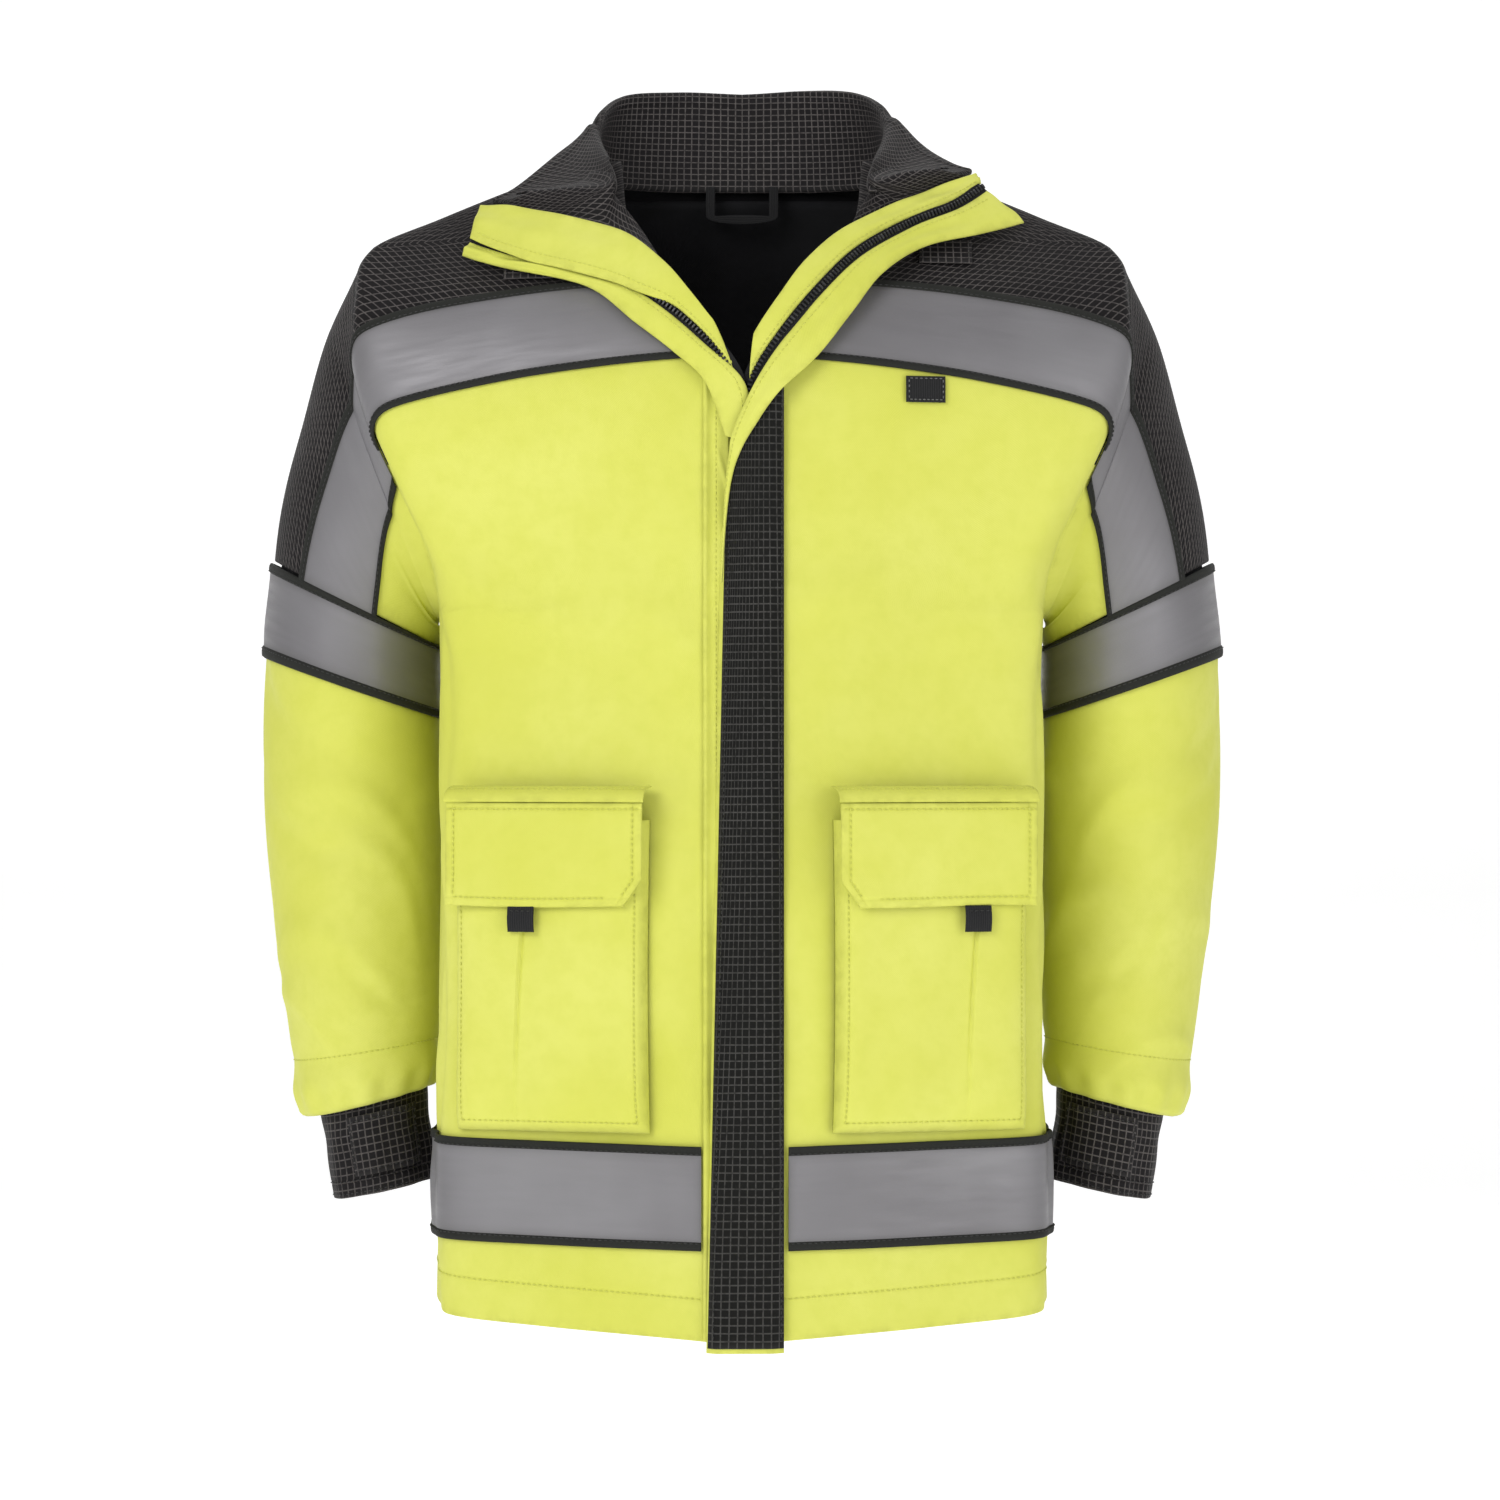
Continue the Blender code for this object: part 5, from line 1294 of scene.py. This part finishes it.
def pocket_flap(side, word, half):
    """The padded flap with its bevelled inner corner, its stitched border and its pull tab."""
    def plan(c, r):
        down = 1 - r
        inner = np.clip((down * FLAP_DEPTH - (FLAP_DEPTH - 0.016)) / 0.016, 0, 1) * 0.012
        x = mix(-(half - inner), half, c) * side
        return x, -FLAP_DEPTH * down - 0.0006 * np.sin(5 * c + side) * down

    def place(c, r, lift):
        x, z = plan(c, r)
        crown = 0.0016 * np.clip(np.sin(np.pi * c), 0, 1) ** 0.5 * np.clip(np.sin(np.pi * (1 - r)), 0, 1) ** 0.5
        curl = 0.0010 * smooth(0.6, 1.0, 1 - r) * np.sin(3 * c + side)
        return in_frame(side, x, FLAP_Y - 0.0011 - crown - curl - lift, z)

    border = ([path_on(place, x, (0.10, 0.97), 0.0002) for x in (0.045, 0.955)]
              + [path_on(place, (0.13, 0.955), 0.085, 0.0002), path_on(place, (0.01, 0.99), 0.94, 0.0002)])
    body = f"pocket_flap_{word}"
    sewn = stitches(f"pocket_flap_stitches_{word}", border, YELLOW_THREAD, body)
    panel(body, place, (80, 44), 0.0028, YELLOW, body, rim=0.0016, sewn=((0.045, 0.955), (0.085, 0.94)),
          groove=0.0006)

    def tab(c, r, lift):
        bend = 0.0012 * np.sin(np.pi * r)
        return in_frame(side, PULL_TAB_X[side] + mix(-0.0082, 0.0082, c), FLAP_Y - 0.0016 - bend - lift,
                        mix(-FLAP_DEPTH - 0.0150, -FLAP_DEPTH + 0.0006, r))

    sewn = stitches(f"pull_tab_stitches_{word}", [path_on(tab, (0.08, 0.92), 0.80, 0.0003)], BLACK_THREAD, body)
    panel(f"pocket_pull_tab_{word}", tab, (16, 14), 0.0016, WEBBING, body, rim=0.0007)
    hook = lambda c, r, lift: in_frame(side, mix(-0.038, 0.038, c), FLAP_Y + 0.0019 + 0 * c - lift,
                                       mix(-0.050, -0.030, r))
    panel(f"pocket_hook_patch_{word}", hook, (20, 8), 0.0009, HOOK, body, declare=False)


def welt(side, word, half):
    """The strip that joins the flap's top edge to the coat."""
    def place(c, r, lift):
        x = mix(-half - 0.0010, half + 0.0010, c)
        reach = np.sin(r * np.pi / 2)
        y = mix(0.0105, FLAP_Y - 0.0012, reach) - lift * 0.6
        z = mix(0.0100, 0.0010, r**2) + lift * 0.8
        return in_frame(side, x, y, z)

    sewn = stitches(f"pocket_welt_stitches_{word}", [path_on(place, (0.01, 0.99), 0.45, 0.0002)], YELLOW_THREAD)
    panel(f"pocket_welt_{word}", place, (50, 10), 0.0012, YELLOW)


def tabs():
    places = (("mic_tab_right", RIGHT, (0.112, 0.142), (0.652, 0.668), GRID, BLACK_THREAD),
              ("mic_tab_left", LEFT, (0.106, 0.138), (0.662, 0.677), GRID, BLACK_THREAD),
              ("label_tab", LEFT, (0.0965, 0.1200), (0.5770, 0.5925), WEBBING, GREY_THREAD))
    for name, side, span, heights, coat, line in places:
        def place(c, r, lift):
            height = mix(*heights, r)
            return torso(around_at(side * mix(*span, c), height), height, ON_SHELL + 0.0008 + lift)

        border = [path_on(place, x, (0.1, 0.9), 0.0004) for x in (0.07, 0.93)]
        if name == "label_tab":
            border += [path_on(place, (0.07, 0.93), x, 0.0004) for x in (0.1, 0.9)]
        sewn = stitches(f"{name}_stitches", border, line, pitch=0.0026, length=0.0019)
        panel(name, place, (20, 12), 0.0014, coat, rim=0.0007)


def linings():
    """The lining, cut open where each sleeve passes through it."""
    start, end = (lambda h: neck_edge(RIGHT, h, 0.010)), (lambda h: neck_edge(LEFT, h, 0.010))
    place = torso_place(start, end, level(LINING_SPAN[0]), level(LINING_SPAN[1]), -0.0050)
    r, c = np.meshgrid(np.linspace(0, 1, 110), np.linspace(0, 1, 150), indexing="ij")
    points = place(c, r, 0 * c)
    index = np.arange(c.size).reshape(c.shape)
    quads = quads_of(index)
    points = points.reshape(-1, 3)
    centre = points[quads].mean(1)
    share = (((centre[:, 2] - ARMHOLE_MIDDLE) / (LINING_HOLE[0] - 0.006)) ** 2
             + ((centre[:, 1] + 0.010) / (LINING_HOLE[1] - 0.006)) ** 2)
    quads = quads[(share > 1) | (np.abs(centre[:, 0]) < 0.14)]
    used = np.unique(quads)
    fresh = np.zeros(len(points), int)
    fresh[used] = np.arange(len(used))
    plane = np.stack([c.ravel() * 1.05, r.ravel() * 0.67], -1)
    made = make("body_lining", points[used], fresh[quads], LINING, plane[quads].reshape(-1, 2),
                np.zeros(len(used)))
    thick = bmesh.new()
    thick.from_mesh(made.data)
    bmesh.ops.solidify(thick, geom=thick.faces[:], thickness=0.0010)
    thick.to_mesh(made.data)
    thick.free()


def hanger_loop():
    """A narrow webbing loop hanging inside the back of the neck."""
    def place(c, r, lift):
        """r runs down one side, along the bottom and up the other side."""
        drop, bottom, half = 0.018, 0.046, 0.020
        run = r * (2 * drop + bottom)
        turn = np.clip((run - drop) / bottom, 0, 1) * np.pi
        sides = -np.minimum(run, 2 * drop + bottom - run)
        z = np.where(-sides < drop, sides, -drop - 0.0030 * np.sin(turn) ** 0.6)
        out = np.stack([np.cos(turn), 0 * turn, np.sin(turn)], -1)
        point = np.stack([-half * np.cos(turn), HANGER[0] - lift + 0 * turn, HANGER[1] + z], -1)
        return point + out * (mix(-0.0029, 0.0029, c))[..., None]

    panel("hanger_loop", place, (6, 60), 0.0011, WEBBING, "hanger_loop", rim=0.0005)


# ---------------------------------------------------------------- stage
def studio():
    floor = bpy.data.meshes.new("studio_floor")
    rows = [(-4.0, 0.0), (-1.0, 0.0), (2.2, 0.0), (3.0, 0.10), (3.6, 0.45), (3.9, 1.1), (4.0, 2.2), (4.0, 4.5)]
    points = [(x, y, -0.98 + z) for y, z in rows for x in (-6.0, 6.0)]
    faces = [(2 * k, 2 * k + 1, 2 * k + 3, 2 * k + 2) for k in range(len(rows) - 1)]
    floor.from_pydata(points, [], faces)
    floor.shade_smooth()
    pale = bpy.data.materials.new("studio_pale")
    pale.use_nodes = True
    for key, value in (("Base Color", (0.93, 0.93, 0.93, 1)), ("Roughness", 0.9),
                       ("Emission Color", (1, 1, 1, 1)), ("Emission Strength", 0.36)):
        pale.node_tree.nodes["Principled BSDF"].inputs[key].default_value = value
    floor.materials.append(pale)
    placed("studio_floor", floor)
    world = bpy.data.worlds.new("studio")
    world.use_nodes = True
    world.node_tree.nodes["Background"].inputs[0].default_value = (1, 1, 1, 1)
    world.node_tree.nodes["Background"].inputs[1].default_value = 0.42
    bpy.context.scene.world = world
    bpy.context.scene.view_settings.view_transform = "Standard"
    for name, place, size, power in (("key", (-1.5, -2.7, 0.9), 1.8, 41), ("fill", (2.0, -2.4, 0.0), 2.0, 19),
                                     ("top", (0.0, 0.4, 2.0), 2.4, 15), ("back", (0.0, 2.2, 0.7), 2.4, 12)):
        light = bpy.data.lights.new(name, "AREA")
        light.shape = "DISK"
        light.size = size
        light.energy = power
        lamp = placed(name, light)
        lamp.location = place
        lamp.rotation_euler = (Vector((0, 0, -0.33)) - Vector(place)).to_track_quat("-Z", "Y").to_euler()
    camera = bpy.data.cameras.new("camera")
    camera.lens = 112.3
    camera.sensor_width = 36
    camera.clip_end = 30
    eye = placed("camera", camera)
    eye.location = (0.005, -2.9, -0.328)
    eye.rotation_euler = (math.radians(90), 0, 0)
    bpy.context.scene.camera = eye


studio()
torso_pieces()
sleeves()
gussets()
lapels()
zip_pieces()
collar()
storm_flap()
placket()
pockets()
tabs()
linings()
hanger_loop()
